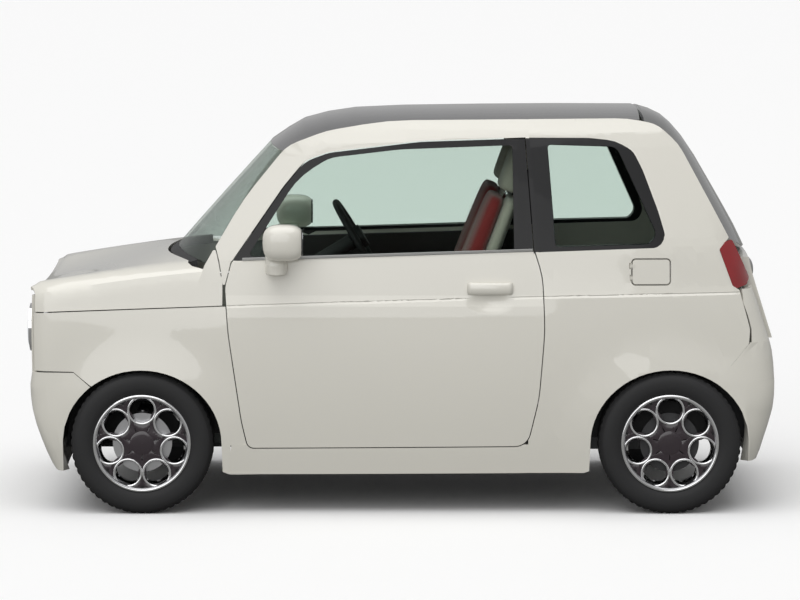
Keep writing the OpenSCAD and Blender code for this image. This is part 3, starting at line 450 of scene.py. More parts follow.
def hemmed(work, width):
    """Moves a panel's outer edges outwards a little, except round the opening of the charge lid."""
    work.normal_update()
    shift = {}
    for edge in work.edges:
        at = edge.verts[0].co
        beside_lid = abs(at.x - LID_AT[0]) < LID_HALF[0] and abs(at.z - LID_AT[1]) < LID_HALF[1]
        if len(edge.link_faces) != 2 or edge.calc_face_angle(0) < HEM_ANGLE or beside_lid:
            continue
        side = 1 if edge.verts[0].co.y > 0 else -1
        skin = [f.normal.y * side > SKIN_FACING for f in edge.link_faces]
        if skin[0] == skin[1]:
            continue
        wall = edge.link_faces[1 if skin[0] else 0].normal
        for vertex in edge.verts:
            shift[vertex] = shift.get(vertex, Vector()) + Vector((wall.x, 0, wall.z))
    for vertex, way in shift.items():
        if way.length > 1e-4:
            vertex.co += way.normalized() * width


print("no hem within", LID_HALF, "m of the lid's middle")

# %% Dress a node


def dressed(node, finishes, pick=None, step=0.05, cuts=(), hem=0.0, tilt=None):
    """A smooth copy of a node that stands for it, with a finish picked for each face by its place.

    The cuts are lines in x and z that part the faces, so that two finishes meet along a clean edge.
    The hem narrows the shut lines, and the tilt leans the shading where a fold is pressed in."""
    work = divided(NODES[node].data, step, cuts)
    if hem:
        hemmed(work, hem)
    mesh = bpy.data.meshes.new(node + "_skin")
    work.to_mesh(mesh)
    work.free()
    for material in finishes:
        mesh.materials.append(material)
    if pick:
        for face in mesh.polygons:
            face.material_index = pick(face.center, face.normal)
    mesh.polygons.foreach_set("use_smooth", [True] * len(mesh.polygons))
    normals = blended_normals(mesh)
    if tilt:
        for face in mesh.polygons:
            for corner in face.loop_indices:
                point = mesh.vertices[mesh.loops[corner].vertex_index].co
                lean = tilt(face.center, face.normal, point)
                if lean:
                    normals[corner] += lean
                    normals[corner] /= np.linalg.norm(normals[corner])
    mesh.normals_split_custom_set(normals)
    piece = bpy.data.objects.new(node + "_skin", mesh)
    scene.collection.objects.link(piece)
    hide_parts(node)
    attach(piece, BODY_OF[node])
    return piece


print("a skin stands for its node")

# %% [markdown]
# ## Outlines of the side windows
# The doors and the rear quarters have black surrounds on the same pressing as the paint. The belt line
# parts them on a door. On the quarter an outline does, and a second one bounds the clear pane in the
# quarter's glass. Both are rows of x, z and corner radius, and the faces are cut along them.

# %% Window outlines
BELT_HEIGHT = 0.979
BELT_SLOPE = -0.0314
FRAME_ROWS = [(0.650, 0.950, 0), (0.452, 1.235, 0.3), (0.372, 1.330, 0.12), (0.283, 1.362, 0.15),
              (-0.063, 1.403, 0.6), (-0.476, 1.415, 0), (-0.700, 1.414, 0.3), (-0.799, 1.404, 0.15),
              (-0.866, 1.367, 0.07), (-0.903, 1.294, 0.3), (-0.960, 1.140, 0.5), (-0.985, 1.050, 0.04),
              (-0.961, 1.008, 0.04), (-0.508, 0.993, 0)]
PANE_ROWS = [(-0.543, 1.392, 0.012), (-0.806, 1.384, 0.045), (-0.958, 1.052, 0.040),
             (-0.925, 1.020, 0.030), (-0.572, 1.011, 0.015)]


def belt(x):
    return BELT_HEIGHT + BELT_SLOPE * x


def rounded(rows, steps=4):
    """An outline whose corners, given as x, z and radius, are replaced by arcs."""
    outline = []
    for i, (x, z, radius) in enumerate(rows):
        if not radius:
            outline.append((x, z))
            continue
        corner = Vector((x, z))
        to_last = (Vector(rows[i - 1][:2]) - corner).normalized()
        to_next = (Vector(rows[(i + 1) % len(rows)][:2]) - corner).normalized()
        half = to_last.angle(to_next) / 2
        centre = corner + (to_last + to_next).normalized() * radius / math.sin(half)
        first = corner + to_last * radius / math.tan(half) - centre
        last = corner + to_next * radius / math.tan(half) - centre
        start = math.atan2(first.y, first.x)
        sweep = (math.atan2(last.y, last.x) - start + math.pi) % (2 * math.pi) - math.pi
        for k in range(steps + 1):
            angle = start + sweep * k / steps
            outline.append((centre.x + radius * math.cos(angle), centre.y + radius * math.sin(angle)))
    return outline


def edges_of(outline):
    return list(zip(outline, outline[1:] + outline[:1]))


def inside_outline(x, z, outline):
    inside = False
    for (x0, z0), (x1, z1) in edges_of(outline):
        if (z0 > z) != (z1 > z) and x < x0 + (z - z0) * (x1 - x0) / (z1 - z0):
            inside = not inside
    return inside


PANE_EDGE = rounded(PANE_ROWS)
FRAME_EDGE = rounded(FRAME_ROWS, 3)
BELT_CUT = [((-1.0, belt(-1.0)), (1.0, belt(1.0)))]
print("surround outline:", len(FRAME_EDGE), "points")

# %% [markdown]
# ## The fold and the scoop
# A fold runs along the side below the belt, and a shallow scoop for the fingers lies under each door
# handle. Both are only a few millimetres deep, so the shape stays and the normals lean instead. The
# faces are cut finely there first.

# %% Fold and scoop
CREASE_HEIGHT = 0.812
CREASE_SLOPE = 0.0285
CREASE_BOW = 0.0055
FOLD_ABOVE = 0.003
FOLD_BELOW = 0.008
FOLD_ENDS = (1.40, 0.45, -0.45, -1.32)
FOLD_FRONT = 0.7
FOLD_DARK = (0, 0, -0.7)
FOLD_BRIGHT = (0, 0, 0.38)
SIDE_FACING = 0.8


def crease(x):
    return CREASE_HEIGHT - CREASE_SLOPE * x - CREASE_BOW * x * x


FOLD_CUTS = [((x0, crease(x0) + rise), (x1, crease(x1) + rise))
             for x0, x1 in zip(FOLD_ENDS, FOLD_ENDS[1:]) for rise in (FOLD_ABOVE, 0, -FOLD_BELOW)]


def fold_tilt(centre, normal, point):
    """The pressed fold along the side: a dark line under the upper panel and a bright ledge below it."""
    side = 1 if centre.y > 0 else -1
    above = centre.z - crease(centre.x)
    if normal.y * side < SIDE_FACING or centre.x > FOLD_FRONT or not -FOLD_BELOW < above < FOLD_ABOVE:
        return None
    return FOLD_DARK if above > 0 else FOLD_BRIGHT


SCOOP_AT = (-0.326, 0.802)
SCOOP_HALF = (0.096, 0.044)
SCOOP_DEPTH = 0.013
SCOOP_ROWS = [0.75 + 0.008 * k for k in range(14)]
SCOOP_COLUMNS = [-0.43 + 0.02 * k for k in range(11)]
SCOOP_CUTS = [((-0.5, z), (-0.1, z)) for z in SCOOP_ROWS]
SCOOP_CUTS += [((x, 0.6), (x, 1.0)) for x in SCOOP_COLUMNS]


def door_tilt(centre, normal, point):
    """The finger scoop under the handle, leaning the shading as a round hollow does, and the fold."""
    across = (point.x - SCOOP_AT[0]) / SCOOP_HALF[0]
    up = (point.z - SCOOP_AT[1]) / SCOOP_HALF[1]
    left = 1 - across * across - up * up
    if abs(normal.y) > SIDE_FACING and left > 0:
        pull = -4 * SCOOP_DEPTH * left
        return (pull * across / SCOOP_HALF[0], 0, pull * up / SCOOP_HALF[1])
    return fold_tilt(centre, normal, point)


print("fold cuts:", len(FOLD_CUTS), "scoop cuts:", len(SCOOP_CUTS))

# %% [markdown]
# ## Painted panels, glass and the plain inner pieces
# One table gives every node its finish. Panels with two finishes pick one for each face by its place.
# Pieces that are hidden underneath keep the frame's own mesh and only take a material.

# %% Panel table
HEM = 0.0022
DOOR_SKIN_FROM = 0.66


def door_pick(centre, normal):
    if centre.z > belt(centre.x):
        return 1
    return 0 if abs(centre.y) > DOOR_SKIN_FROM else 2


def surround_pick(centre, normal):
    return 1 if inside_outline(centre.x, centre.z, FRAME_EDGE) else 0


def pane_pick(centre, normal):
    return 0 if inside_outline(centre.x, centre.z, PANE_EDGE) else 1


PAINTED = ["sills", "wings", "nose_panel", "bonnet", "tailgate", "front_bumper", "rear_bumper"]
OTHER = {"roof_panel": ROOF_BLACK, "tailgate_glass": DARK_GLASS,
         "windscreen": GLASS, "left_door_glass": GLASS, "right_door_glass": GLASS, "cowl": PLASTIC,
         "grille": CHROME, "tail_lamps": LAMP_RED, "dashboard": PLASTIC, "steering_wheel": PLASTIC}
PLAIN = {"floor_pan": CHASSIS, "wheel_houses": PLASTIC, "battery": CAST, "motor": CAST,
         "front_crossmember": CHASSIS, "rear_axle": CHASSIS, "left_knuckle": STEEL, "right_knuckle": STEEL}
skins = {}
for node in PAINTED:
    skins[node] = dressed(node, [PAINT], hem=HEM)
skins["charge_lid"] = dressed("charge_lid", [PAINT])
surround_cuts = edges_of(FRAME_EDGE)
door_cuts = BELT_CUT + FOLD_CUTS + SCOOP_CUTS
skins["rails"] = dressed("rails", [PAINT, TRIM_BLACK], surround_pick, cuts=surround_cuts, hem=HEM)
for node in ("left_quarter", "right_quarter"):
    skins[node] = dressed(node, [PAINT, TRIM_BLACK], surround_pick, cuts=surround_cuts + FOLD_CUTS,
                          hem=HEM, tilt=fold_tilt)
for node in ("left_door", "right_door"):
    skins[node] = dressed(node, [PAINT, TRIM_BLACK, DARK_CLOTH], door_pick, cuts=door_cuts,
                          hem=HEM, tilt=door_tilt)
skins["quarter_glass"] = dressed("quarter_glass", [GLASS, TRIM_BLACK], pane_pick, cuts=edges_of(PANE_EDGE))
for node, material in OTHER.items():
    skins[node] = dressed(node, [material])
for node, material in PLAIN.items():
    NODES[node].data.materials.clear()
    NODES[node].data.materials.append(material)
print("skins:", len(skins))

# %% [markdown]
# ## Small mesh helpers
# Trim, rings and cushions are swept or turned shapes. These helpers make the mesh in place, close it,
# point its faces outwards and hang it on the body that carries it.

# %% Mesh helpers


def piece_from(name, points, faces, material, body, smooth=True, bevel=0.0):
    mesh = bpy.data.meshes.new(name)
    mesh.from_pydata([tuple(p) for p in points], [], faces)
    mesh.materials.append(material)
    work = bmesh.new()
    work.from_mesh(mesh)
    bmesh.ops.remove_doubles(work, verts=work.verts, dist=1e-6)
    bmesh.ops.recalc_face_normals(work, faces=work.faces)
    work.to_mesh(mesh)
    work.free()
    mesh.polygons.foreach_set("use_smooth", [smooth] * len(mesh.polygons))
    piece = bpy.data.objects.new(name, mesh)
    scene.collection.objects.link(piece)
    if bevel:
        rounding = piece.modifiers.new("rounding", "BEVEL")
        rounding.width = bevel
        rounding.segments = 3
        rounding.limit_method = "ANGLE"
    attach(piece, body)
    return piece


def swept(rings, closed_path=False):
    """Points and quads of a tube through rings of equal length, with its ends closed unless it loops."""
    sides = len(rings[0])
    points = [p for ring in rings for p in ring]
    faces = []
    spans = len(rings) if closed_path else len(rings) - 1
    for i in range(spans):
        a, b = i * sides, (i + 1) % len(rings) * sides
        for j in range(sides):
            k = (j + 1) % sides
            faces.append((a + j, a + k, b + k, b + j))
    if not closed_path:
        faces.append(tuple(range(sides))[::-1])
        faces.append(tuple(range(len(points) - sides, len(points))))
    return points, faces


def tube_rings(path, radius_a, radius_b, up, sides=12):
    """Oval rings along a path: radius_a across it, radius_b along the up direction."""
    rings = []
    for i, point in enumerate(path):
        before, after = Vector(path[max(0, i - 1)]), Vector(path[min(len(path) - 1, i + 1)])
        along = (after - before).normalized()
        across = along.cross(Vector(up)).normalized()
        over = across.cross(along)
        rings.append([Vector(point) + across * radius_a * math.cos(2 * math.pi * j / sides)
                      + over * radius_b * math.sin(2 * math.pi * j / sides) for j in range(sides)])
    return rings


def joined(parts):
    """One list of points and faces from several."""
    points, faces = [], []
    for part_points, part_faces in parts:
        base = len(points)
        points += list(part_points)
        faces += [tuple(base + k for k in face) for face in part_faces]
    return points, faces


def mirrored(points, side):
    return [Vector((p[0], p[1] * side, p[2])) for p in points]


def search_tree(node):
    work = bmesh.new()
    work.from_mesh(NODES[node].data)
    tree = BVHTree.FromBMesh(work)
    work.free()
    return tree


door_tree = search_tree("left_door")


def door_out(x, z):
    """How far out the left door's skin lies at an x and z."""
    return door_tree.ray_cast(Vector((x, 2.0, z)), Vector((0, -1, 0)))[0].y


SIDES = (("left", 1), ("right", -1))
print("door skin at the handle:", round(door_out(-0.326, 0.858), 4))

# %% [markdown]
# ## Wheels
# Each wheel face is a dark lacquered disc with seven round holes, one at the top, inside a bright outer
# ring. Every hole has a chrome lip, and behind it a funnel that narrows to an oval mouth. The tyre is a
# turned profile whose outer ribs are cut by cross grooves. Sizes are from the wheel's own middle.

# %% Tyre
TYRE_RADIUS = 0.269
TYRE_HALF = 0.0775
GROOVE_DEPTH = 0.007
CROSS_DEPTH = 0.004
RIM_RADIUS = 0.178
TURN_STEPS = 168
RIBS = [(-0.058, -0.034), (-0.028, -0.004), (0.004, 0.028), (0.034, 0.058)]


def turned(profile, steps=TURN_STEPS, twist=None):
    """A profile of (radius, outward) points turned about the wheel's axis, as points and quads."""
    points, faces = [], []
    count = len(profile)
    for i in range(steps):
        angle = 2 * math.pi * i / steps
        for j, (radius, out) in enumerate(profile):
            r = radius - (twist(i, j) if twist else 0.0)
            points.append(Vector((r * math.cos(angle), out, r * math.sin(angle))))
    for i in range(steps):
        a, b = i * count, (i + 1) % steps * count
        for j in range(count - 1):
            faces.append((a + j, a + j + 1, b + j + 1, b + j))
    return points, faces


def tread_profile():
    wall = [(RIM_RADIUS + 0.002, -0.060), (RIM_RADIUS + 0.012, -0.0715), (0.212, -0.0765),
            (0.232, -TYRE_HALF), (0.250, -0.0735), (0.2615, -0.065)]
    tread = []
    for low, high in RIBS:
        tread += [(TYRE_RADIUS - GROOVE_DEPTH, low - 0.0008), (TYRE_RADIUS - 0.0006, low),
                  (TYRE_RADIUS, (low + high) / 2), (TYRE_RADIUS - 0.0006, high),
                  (TYRE_RADIUS - GROOVE_DEPTH, high + 0.0008)]
    return wall + tread + [(r, -out) for r, out in wall[::-1]]


TREAD = tread_profile()


def cross_groove(i, j):
    out = TREAD[j][1]
    on_tread = TREAD[j][0] > TYRE_RADIUS - 0.002
    shift = 1 if out > 0 else 0
    return CROSS_DEPTH if on_tread and abs(out) > 0.02 and (i + shift) % 3 == 0 else 0.0


print("tread profile:", len(TREAD), "points")

# %% Wheel face
FACE_OUT = 0.058
FACE_INNER = 0.034
FACE_OUTER = 0.176
FACE_BACK = 0.016
HOLES = 7
HOLE_MID = 0.1255
HOLE_RADIAL = 0.0550
HOLE_ACROSS = 0.0545
MOUTH_MID = 0.1195
MOUTH_RADIAL = 0.0385
MOUTH_ACROSS = 0.0480
TUBE_DEPTH = 0.032


def funnel(angle, steps=40):
    """A chrome lip round a hole, with a funnel that narrows to the hole's mouth behind it."""
    section = [(0, 0.0010, -0.006), (0, 0.0005, 0.003), (0, -0.0010, 0.0045), (0, -0.0060, 0.0042),
               (0, -0.0085, 0.001), (1, 0.0020, -0.012), (1, 0.0, -TUBE_DEPTH), (1, 0.003, -TUBE_DEPTH),
               (0, -0.0060, -0.008)]
    ovals = ((HOLE_MID, HOLE_RADIAL, HOLE_ACROSS), (MOUTH_MID, MOUTH_RADIAL, MOUTH_ACROSS))
    rings = []
    for i in range(steps):
        turn = 2 * math.pi * i / steps
        ring = []
        for which, wider, rise in section:
            mid, radial, across = ovals[which]
            x = mid + (radial + wider) * math.cos(turn)
            z = (across + wider) * math.sin(turn)
            ring.append(Vector((x * math.cos(angle) - z * math.sin(angle), FACE_OUT + 0.002 + rise,
                                x * math.sin(angle) + z * math.cos(angle))))
        rings.append(ring)
    return swept(rings, True)


def face_disc():
    """The dark face with its holes: a strip round each one, out to the middle of the next.

    A ray from the hole's middle is shortened until its tip lies in the hole's own wedge of the face."""
    points, faces = [], []
    steps = 36
    wedge = math.pi / HOLES
    for k in range(HOLES):
        middle = math.pi / 2 + 2 * math.pi * k / HOLES
        base = len(points)
        for i in range(steps):
            turn = 2 * math.pi * i / steps
            hole = Vector((HOLE_MID + HOLE_RADIAL * math.cos(turn), HOLE_ACROSS * math.sin(turn)))
            ray = Vector((math.cos(turn), math.sin(turn)))
            far = 0.2
            for _ in range(30):
                tip = Vector((HOLE_MID, 0)) + ray * far
                if FACE_INNER <= tip.length <= FACE_OUTER and abs(math.atan2(tip.y, tip.x)) <= wedge:
                    break
                far *= 0.965
            rim_point = Vector((HOLE_MID, 0)) + ray * max(far, HOLE_RADIAL + 0.0015)
            for p, out in ((hole, FACE_OUT - FACE_BACK), (hole, FACE_OUT),
                           (rim_point, FACE_OUT + 0.001), (rim_point, FACE_OUT - FACE_BACK)):
                x = p.x * math.cos(middle) - p.y * math.sin(middle)
                z = p.x * math.sin(middle) + p.y * math.cos(middle)
                points.append(Vector((x, out, z)))
        for i in range(steps):
            a, b = base + 4 * i, base + 4 * ((i + 1) % steps)
            for j in range(4):
                m = (j + 1) % 4
                faces.append((a + j, a + m, b + m, b + j))
    return points, faces


def hub_cap():
    return turned([(0.0001, FACE_OUT + 0.003), (0.03, FACE_OUT + 0.0025), (0.040, FACE_OUT + 0.0018),
                   (0.046, FACE_OUT + 0.0008), (0.046, FACE_OUT - FACE_BACK),
                   (0.0001, FACE_OUT - 0.018)], 56)


def rim_barrel():
    return turned([(0.1795, 0.066), (0.1785, 0.071), (0.1765, 0.0725), (0.172, 0.069), (0.169, 0.06),
                   (0.1665, 0.03), (0.1655, -0.02), (0.1685, -0.066), (0.178, -0.068), (0.1785, -0.06),
                   (0.170, -0.052), (0.170, 0.05), (0.1795, 0.066)])


def outer_ring():
    return turned([(0.1845, FACE_OUT - 0.002), (0.1865, FACE_OUT + 0.007), (0.184, FACE_OUT + 0.014),
                   (0.1765, FACE_OUT + 0.0145), (0.1715, FACE_OUT + 0.007), (0.1725, FACE_OUT - 0.002),
                   (0.1845, FACE_OUT - 0.002)])


print("wheel face:", HOLES, "holes")

# %% Four wheels
AXLES = {"front": 0.988, "rear": -1.007}
HUB_Y = 0.6425
HUB_Z = 0.269


def at_wheel(part, axle_x, side):
    points, faces = part
    return [Vector((p.x + axle_x, side * (HUB_Y + p.y), p.z + HUB_Z)) for p in points], faces


for end, axle_x in AXLES.items():
    for side_name, side in SIDES:
        body = f"{end}_{side_name}_wheel"
        tyre_node = f"{end}_{side_name}_tyre"
        rim_node = f"{end}_{side_name}_rim"
        points, faces = at_wheel(turned(TREAD, TURN_STEPS, cross_groove), axle_x, side)
        tyre = piece_from(tyre_node + "_tread", points, faces, RUBBER, body)
        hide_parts(tyre_node)
        points, faces = at_wheel(rim_barrel(), axle_x, side)
        barrel = piece_from(rim_node + "_barrel", points, faces, ALLOY, body)
        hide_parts(rim_node)
        points, faces = at_wheel(joined([face_disc(), hub_cap()]), axle_x, side)
        piece_from(rim_node + "_face", points, faces, PLUM, body, bevel=0.001)
        rings = [funnel(math.pi / 2 + 2 * math.pi * k / HOLES) for k in range(HOLES)]
        points, faces = at_wheel(joined(rings + [outer_ring()]), axle_x, side)
        piece_from(rim_node + "_rings", points, faces, CHROME, body)
print("wheels dressed")

# %% [markdown]
# ## Mirrors, handles and side trim
# The mirror heads and the door handles are soft, rounded castings. A superellipsoid, which is a box
# with swollen sides, makes the heads, and swept ovals make the feet, the handles and the belt strips.

# %% Swollen shapes


def squared(value, power):
    return math.copysign(abs(value) ** (2 / power), value)


def swollen_box(centre, half, power, rows=16, around=32):
    """Points and quads of a superellipsoid."""
    points, faces = [], []
    for i in range(rows + 1):
        tall = math.pi * (i / rows - 0.5)
        for j in range(around):
            turn = 2 * math.pi * j / around
            wide = squared(math.cos(tall), power)
            points.append(Vector((centre[0] + half[0] * wide * squared(math.cos(turn), power),
                                  centre[1] + half[1] * wide * squared(math.sin(turn), power),
                                  centre[2] + half[2] * squared(math.sin(tall), power))))
    for i in range(rows):
        for j in range(around):
            k = (j + 1) % around
            faces.append((i * around + j, i * around + k, (i + 1) * around + k, (i + 1) * around + j))
    return points, faces


def oval(centre, along, across, half_a, half_b, power=3.0, sides=28):
    """A ring of points: a swollen oval in the plane of two directions."""
    ring = []
    for j in range(sides):
        turn = 2 * math.pi * j / sides
        ring.append(Vector(centre) + Vector(along) * half_a * squared(math.cos(turn), power)
                    + Vector(across) * half_b * squared(math.sin(turn), power))
    return ring


print("swollen shapes: a box and an oval")

# %% Mirror shapes
MIRROR_X = 0.448
MIRROR_Z = 1.036
MIRROR_HEAD = (0.158, 0.118, 0.138)
MIRROR_BACK = 0.377
FOOT_X = 0.478
FOOT_SUNK = 0.012
FOOT_ROWS = ((0.913, 0.030), (0.9145, 0.037), (0.920, 0.040), (0.945, 0.0415), (0.985, 0.041))
low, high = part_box("left_mirror")
HEAD_Y = high[1] - MIRROR_HEAD[1] / 2


def mirror_shell():
    """The head, cut flat behind, on a foot that grows out of the door."""
    head = swollen_box((MIRROR_X, HEAD_Y, MIRROR_Z), [v / 2 for v in MIRROR_HEAD], 2.9)
    for point in head[0]:
        point.x = max(point.x, MIRROR_BACK)
    root_y = door_out(0.48, 0.925) - FOOT_SUNK
    middle = (FOOT_X, (root_y + HEAD_Y) / 2)
    reach = (HEAD_Y - root_y) / 2
    foot = swept([oval((*middle, z), (1, 0, 0), (0, 1, 0), half_x, reach) for z, half_x in FOOT_ROWS])
    return joined([head, foot])


def mirror_plate(back, front, half_y, half_z):
    return swept([oval((x, HEAD_Y, MIRROR_Z), (0, 1, 0), (0, 0, 1), half_y, half_z) for x in (back, front)])


print("mirror head at y", round(HEAD_Y, 3))

# %% Side trim
HANDLE_FRONT = -0.243
HANDLE_LENGTH = 0.166
HANDLE_Z = 0.856
HANDLE_BOW = 0.009
STRIP_FRONT = 0.607
STRIP_LENGTH = 1.094
STRIP_RISE = 0.006
STRIP_CORNERS = ((0.002, -0.005), (0.002, 0.005), (-0.012, 0.005), (-0.012, -0.005))


def door_handle():
    path = []
    for k in range(13):
        share = k / 12
        x = HANDLE_FRONT - HANDLE_LENGTH * share
        out = door_out(x, HANDLE_Z + 0.002) + HANDLE_BOW * math.sin(math.pi * share) ** 0.5
        path.append((x, out, HANDLE_Z))
    return swept(tube_rings(path, 0.023, 0.011, (0, 1, 0), 20))


def belt_strip():
    rings = []
    for k in range(25):
        x = STRIP_FRONT - STRIP_LENGTH * k / 24
        out = door_out(x, belt(x) - 0.01)
        rings.append([Vector((x, out + a, belt(x) + STRIP_RISE + b)) for a, b in STRIP_CORNERS])
    return swept(rings)


TRIM = [("mirror_shell", mirror_shell(), PAINT, "paint", True, 0.0),
        ("mirror_rim", mirror_plate(0.3762, 0.39, 0.041, 0.049), TRIM_BLACK, "black_plastic", True, 0.001),
        ("mirror_pane", mirror_plate(0.3756, 0.378, 0.038, 0.046), MIRROR_GLASS, "bright", False, 0.0),
        ("handle", door_handle(), PAINT, "paint", True, 0.0),
        ("belt_strip", belt_strip(), SATIN, "bright", False, 0.001)]
for side_name, side in SIDES:
    for label, (points, faces), material, slot, smooth, bevel in TRIM:
        piece = piece_from(f"{side_name}_{label}", mirrored(points, side), faces, material,
                           BODY_OF[side_name + "_door"], smooth, bevel)
        if label == "mirror_shell":
            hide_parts(side_name + "_mirror")
print("side trim on both doors")

# %% [markdown]
# ## Lamps and the tailgate handle
# Each headlamp is a bright bezel round a pale lens, so the faces near its centre take the lens finish.
# The tailgate's handle is a low grey bulge across the middle.

# %% Lamps and tailgate handle
LAMP_CENTRE = (0.500, 0.690)
LENS_RADIUS = 0.076
GATE_HANDLE_HALF = (0.022, 0.24, 0.040)
GATE_HANDLE_Z = 0.881
GATE_FACE_X = -1.372


def lens_pick(centre, normal):
    away = math.hypot(abs(centre.y) - LAMP_CENTRE[0], centre.z - LAMP_CENTRE[1])
    return 1 if away < LENS_RADIUS else 0


skins["headlamps"] = dressed("headlamps", [CHROME, LAMP_LENS], lens_pick, 0.012)
gate_hit = search_tree("tailgate").ray_cast(Vector((-3, 0, GATE_HANDLE_Z)), Vector((1, 0, 0)))
gate_x = gate_hit[0].x if gate_hit[0] else GATE_FACE_X
points, faces = swollen_box((gate_x, 0, GATE_HANDLE_Z), GATE_HANDLE_HALF, 2.6)
piece_from("tailgate_handle", points, faces, SATIN, BODY_OF["tailgate"])
print("tailgate face at", round(gate_x, 3))

# %% [markdown]
# ## Rows and rings of small things
# The stitches on the seats and the dark notches between the holes of a wheel repeat. They could be
# copied in a loop, but two Geometry Nodes groups keep their sizes as inputs: one lays bars along a line
# and one lays notches round a circle. Each result is made a plain mesh.

# %% Pattern groups


def pattern_group(name, inputs):
    group = bpy.data.node_groups.new(name, "GeometryNodeTree")
    for label, kind in inputs + [("Finish", "NodeSocketMaterial")]:
        group.interface.new_socket(name=label, in_out="INPUT", socket_type=kind)
    group.interface.new_socket(name="Geometry", in_out="OUTPUT", socket_type="NodeSocketGeometry")
    given = group.nodes.new("NodeGroupInput")
    place = group.nodes.new("GeometryNodeInstanceOnPoints")
    real = group.nodes.new("GeometryNodeRealizeInstances")
    paint = group.nodes.new("GeometryNodeSetMaterial")
    out = group.nodes.new("NodeGroupOutput")
    wire(group, place, "Instances", real, "Geometry")
    wire(group, real, "Geometry", paint, "Geometry")
    wire(group, given, "Finish", paint, "Material")
    wire(group, paint, "Geometry", out, "Geometry")
    return group, given, place


def row_group():
    group, given, place = pattern_group(
        "row of bars", [("Count", "NodeSocketInt"), ("Start", "NodeSocketVector"),
                        ("Step", "NodeSocketVector"), ("Size", "NodeSocketVector"),
                        ("Turn", "NodeSocketVector")])
    line = group.nodes.new("GeometryNodeMeshLine")
    bar = group.nodes.new("GeometryNodeMeshCube")
    wire(group, given, "Count", line, "Count")
    wire(group, given, "Start", line, "Start Location")
    wire(group, given, "Step", line, "Offset")
    wire(group, given, "Size", bar, "Size")
    wire(group, given, "Turn", place, "Rotation")
    wire(group, line, "Mesh", place, "Points")
    wire(group, bar, "Mesh", place, "Instance")
    return group


def ring_group():
    group, given, place = pattern_group(
        "ring of notches", [("Count", "NodeSocketInt"), ("Radius", "NodeSocketFloat"),
                            ("Notch", "NodeSocketFloat"), ("Depth", "NodeSocketFloat")])
    circle = group.nodes.new("GeometryNodeMeshCircle")
    notch = group.nodes.new("GeometryNodeMeshCylinder")
    notch.inputs["Vertices"].default_value = 3
    where = group.nodes.new("GeometryNodeInputPosition")
    face_out = group.nodes.new("FunctionNodeAlignRotationToVector")
    face_out.axis = "X"
    wire(group, given, "Count", circle, "Vertices")
    wire(group, given, "Radius", circle, "Radius")
    wire(group, given, "Notch", notch, "Radius")
    wire(group, given, "Depth", notch, "Depth")
    wire(group, where, "Position", face_out, "Vector")
    wire(group, face_out, "Rotation", place, "Rotation")
    wire(group, circle, "Mesh", place, "Points")
    wire(group, notch, "Mesh", place, "Instance")
    return group


ROW = row_group()
RING = ring_group()
print("pattern groups:", ROW.name, "and", RING.name)

# %% Notches


def pattern_mesh(group, values):
    """Sets a pattern's inputs, evaluates it once and gives back its points and faces."""
    holder = bpy.data.objects.new("pattern", bpy.data.meshes.new("pattern"))
    scene.collection.objects.link(holder)
    modifier = holder.modifiers.new("pattern", "NODES")
    modifier.node_group = group
    for item in group.interface.items_tree:
        if item.in_out == "INPUT":
            modifier[item.identifier] = values[item.name]
    seen = holder.evaluated_get(bpy.context.evaluated_depsgraph_get())
    mesh = bpy.data.meshes.new_from_object(seen)
    points = [v.co.copy() for v in mesh.vertices]
    faces = [tuple(f.vertices) for f in mesh.polygons]
    bpy.data.objects.remove(holder)
    bpy.data.meshes.remove(mesh)
    return points, faces


flat_points, flat_faces = pattern_mesh(RING, {"Count": HOLES, "Radius": 0.1665, "Notch": 0.0085,
                                              "Depth": 0.006, "Finish": TRIM_BLACK})
between_holes = Matrix.Rotation(math.pi / 2 + math.pi / HOLES, 3, "Z")
flat_points = [between_holes @ p for p in flat_points]
notches = ([Vector((p.x, FACE_OUT + 0.0005 + p.z, p.y)) for p in flat_points], flat_faces)
for end, axle_x in AXLES.items():
    for side_name, side in SIDES:
        points, faces = at_wheel(notches, axle_x, side)
        piece_from(f"{end}_{side_name}_notches", points, faces, TRIM_BLACK, f"{end}_{side_name}_wheel",
                   False)
print("notches:", HOLES, "a wheel")

# %% [markdown]
# ## Seats
# The seats are stuffed. Each has a seat cushion and a red back pad in a cream shell, and a cream head
# restraint on two posts. Every pad is a crowned loft that draws in towards its ends, smoothed by one
# subdivision, and two rows of stitches run up the back pad.

# %% Pads
SEAT_Y = 0.305
SEAT_LEAN = math.radians(21)
BACK_FOOT = Vector((-0.136, 0, 0.540))
BACK_UP = Vector((-math.sin(SEAT_LEAN), 0, math.cos(SEAT_LEAN)))
BACK_FRONT = Vector((math.cos(SEAT_LEAN), 0, math.sin(SEAT_LEAN)))
ACROSS = Vector((0, 1, 0))
FULL_ENDS = [(0.0, 0.55), (0.012, 0.80), (0.05, 0.94), (0.14, 1.0), (0.35, 1.0), (0.65, 0.99),
             (0.86, 0.96), (0.95, 0.90), (0.988, 0.76), (1.0, 0.52)]


def pad(name, start, end, front, half_wide, half_thick, material):
    """A stuffed pad from start to end: crowned in front, drawn in at both ends."""
    rings = []
    for t, full in FULL_ENDS:
        width = half_wide * (0.93 + 0.07 * full) * full ** 0.35
        rings.append(oval(start.lerp(end, t), ACROSS, front, width, half_thick * full, 3.2, 32))
    points, faces = swept(rings)
    piece = piece_from(name, points, faces, material, "shell")
    soft = piece.modifiers.new("soft", "SUBSURF")
    soft.levels = soft.render_levels = 1
    return piece


def back_point(seat, up, front):
    return seat + BACK_FOOT + BACK_UP * up + BACK_FRONT * front


print("back leans", round(math.degrees(SEAT_LEAN)), "degrees")

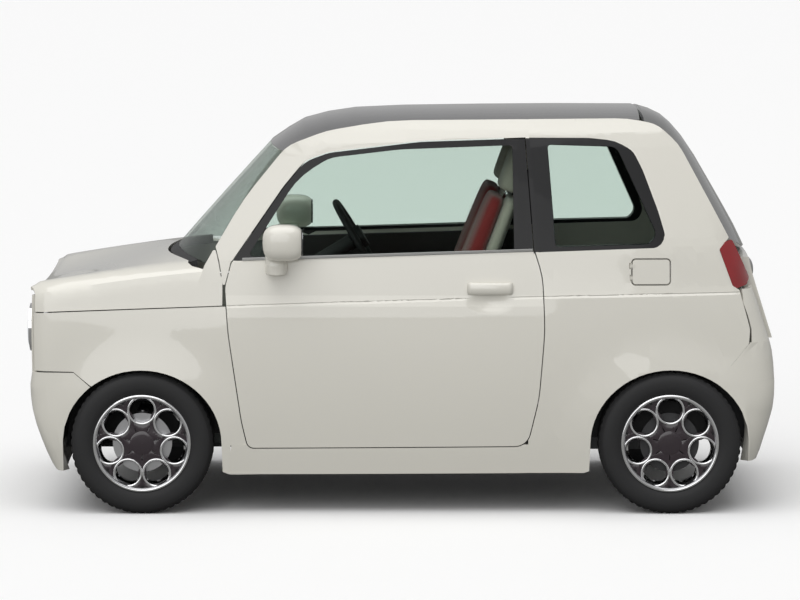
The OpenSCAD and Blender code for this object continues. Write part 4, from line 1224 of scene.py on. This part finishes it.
# %% Seats
CUSHION_ENDS = (Vector((-0.161, 0, 0.500)), Vector((0.329, 0, 0.517)))
BACK_PADS = [("back_pad", (0.05, 0.028), (0.685, 0.024), 0.205, 0.040, RED_CLOTH),
             ("back_shell", (0.01, -0.034), (0.695, -0.034), 0.224, 0.032, CREAM_CLOTH),
             ("head_pad", (0.712, -0.01), (0.898, -0.005), 0.138, 0.046, CREAM_CLOTH)]
POST_APART = 0.05
POST_RADIUS = 0.006
BASE_AT = (0.089, 0.342)
BASE_HALF = (0.165, 0.17, 0.097)
STITCH = {"Count": 52, "Step": BACK_UP * 0.008, "Size": (0.0012, 0.0014, 0.005),
          "Turn": (0, -SEAT_LEAN, 0), "Finish": CREAM_CLOTH}
STITCH_APART = 0.1


def head_post(seat, offset):
    foot, top = [back_point(seat, up, -0.012) + ACROSS * offset for up in (0.66, 0.74)]
    return swept([oval(at, ACROSS, BACK_FRONT, POST_RADIUS, POST_RADIUS, 2, 12) for at in (foot, top)])


def stitch_row(seat, offset):
    return pattern_mesh(ROW, {**STITCH, "Start": back_point(seat, 0.16, 0.0645) + ACROSS * offset})


for side_name, side in SIDES:
    seat = Vector((0, side * SEAT_Y, 0))
    name = side_name + "_seat"
    rear, front = CUSHION_ENDS
    cushion = pad(name + "_cushion", seat + rear, seat + front, Vector((0, 0, 1)), 0.225, 0.060, RED_CLOTH)
    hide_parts(name)
    for label, low, high, half_wide, half_thick, material in BACK_PADS:
        pad(f"{name}_{label}", back_point(seat, *low), back_point(seat, *high), BACK_FRONT, half_wide,
            half_thick, material)
    points, faces = joined([head_post(seat, offset) for offset in (-POST_APART, POST_APART)])
    piece_from(name + "_posts", points, faces, CHROME, "shell")
    points, faces = swollen_box((BASE_AT[0], side * SEAT_Y, BASE_AT[1]), BASE_HALF, 8)
    piece_from(name + "_base", points, faces, PLASTIC, "shell")
    points, faces = joined([stitch_row(seat, offset) for offset in (-STITCH_APART, STITCH_APART)])
    piece_from(name + "_stitches", points, faces, CREAM_CLOTH, "shell", False)
print("seats:", len(SIDES))
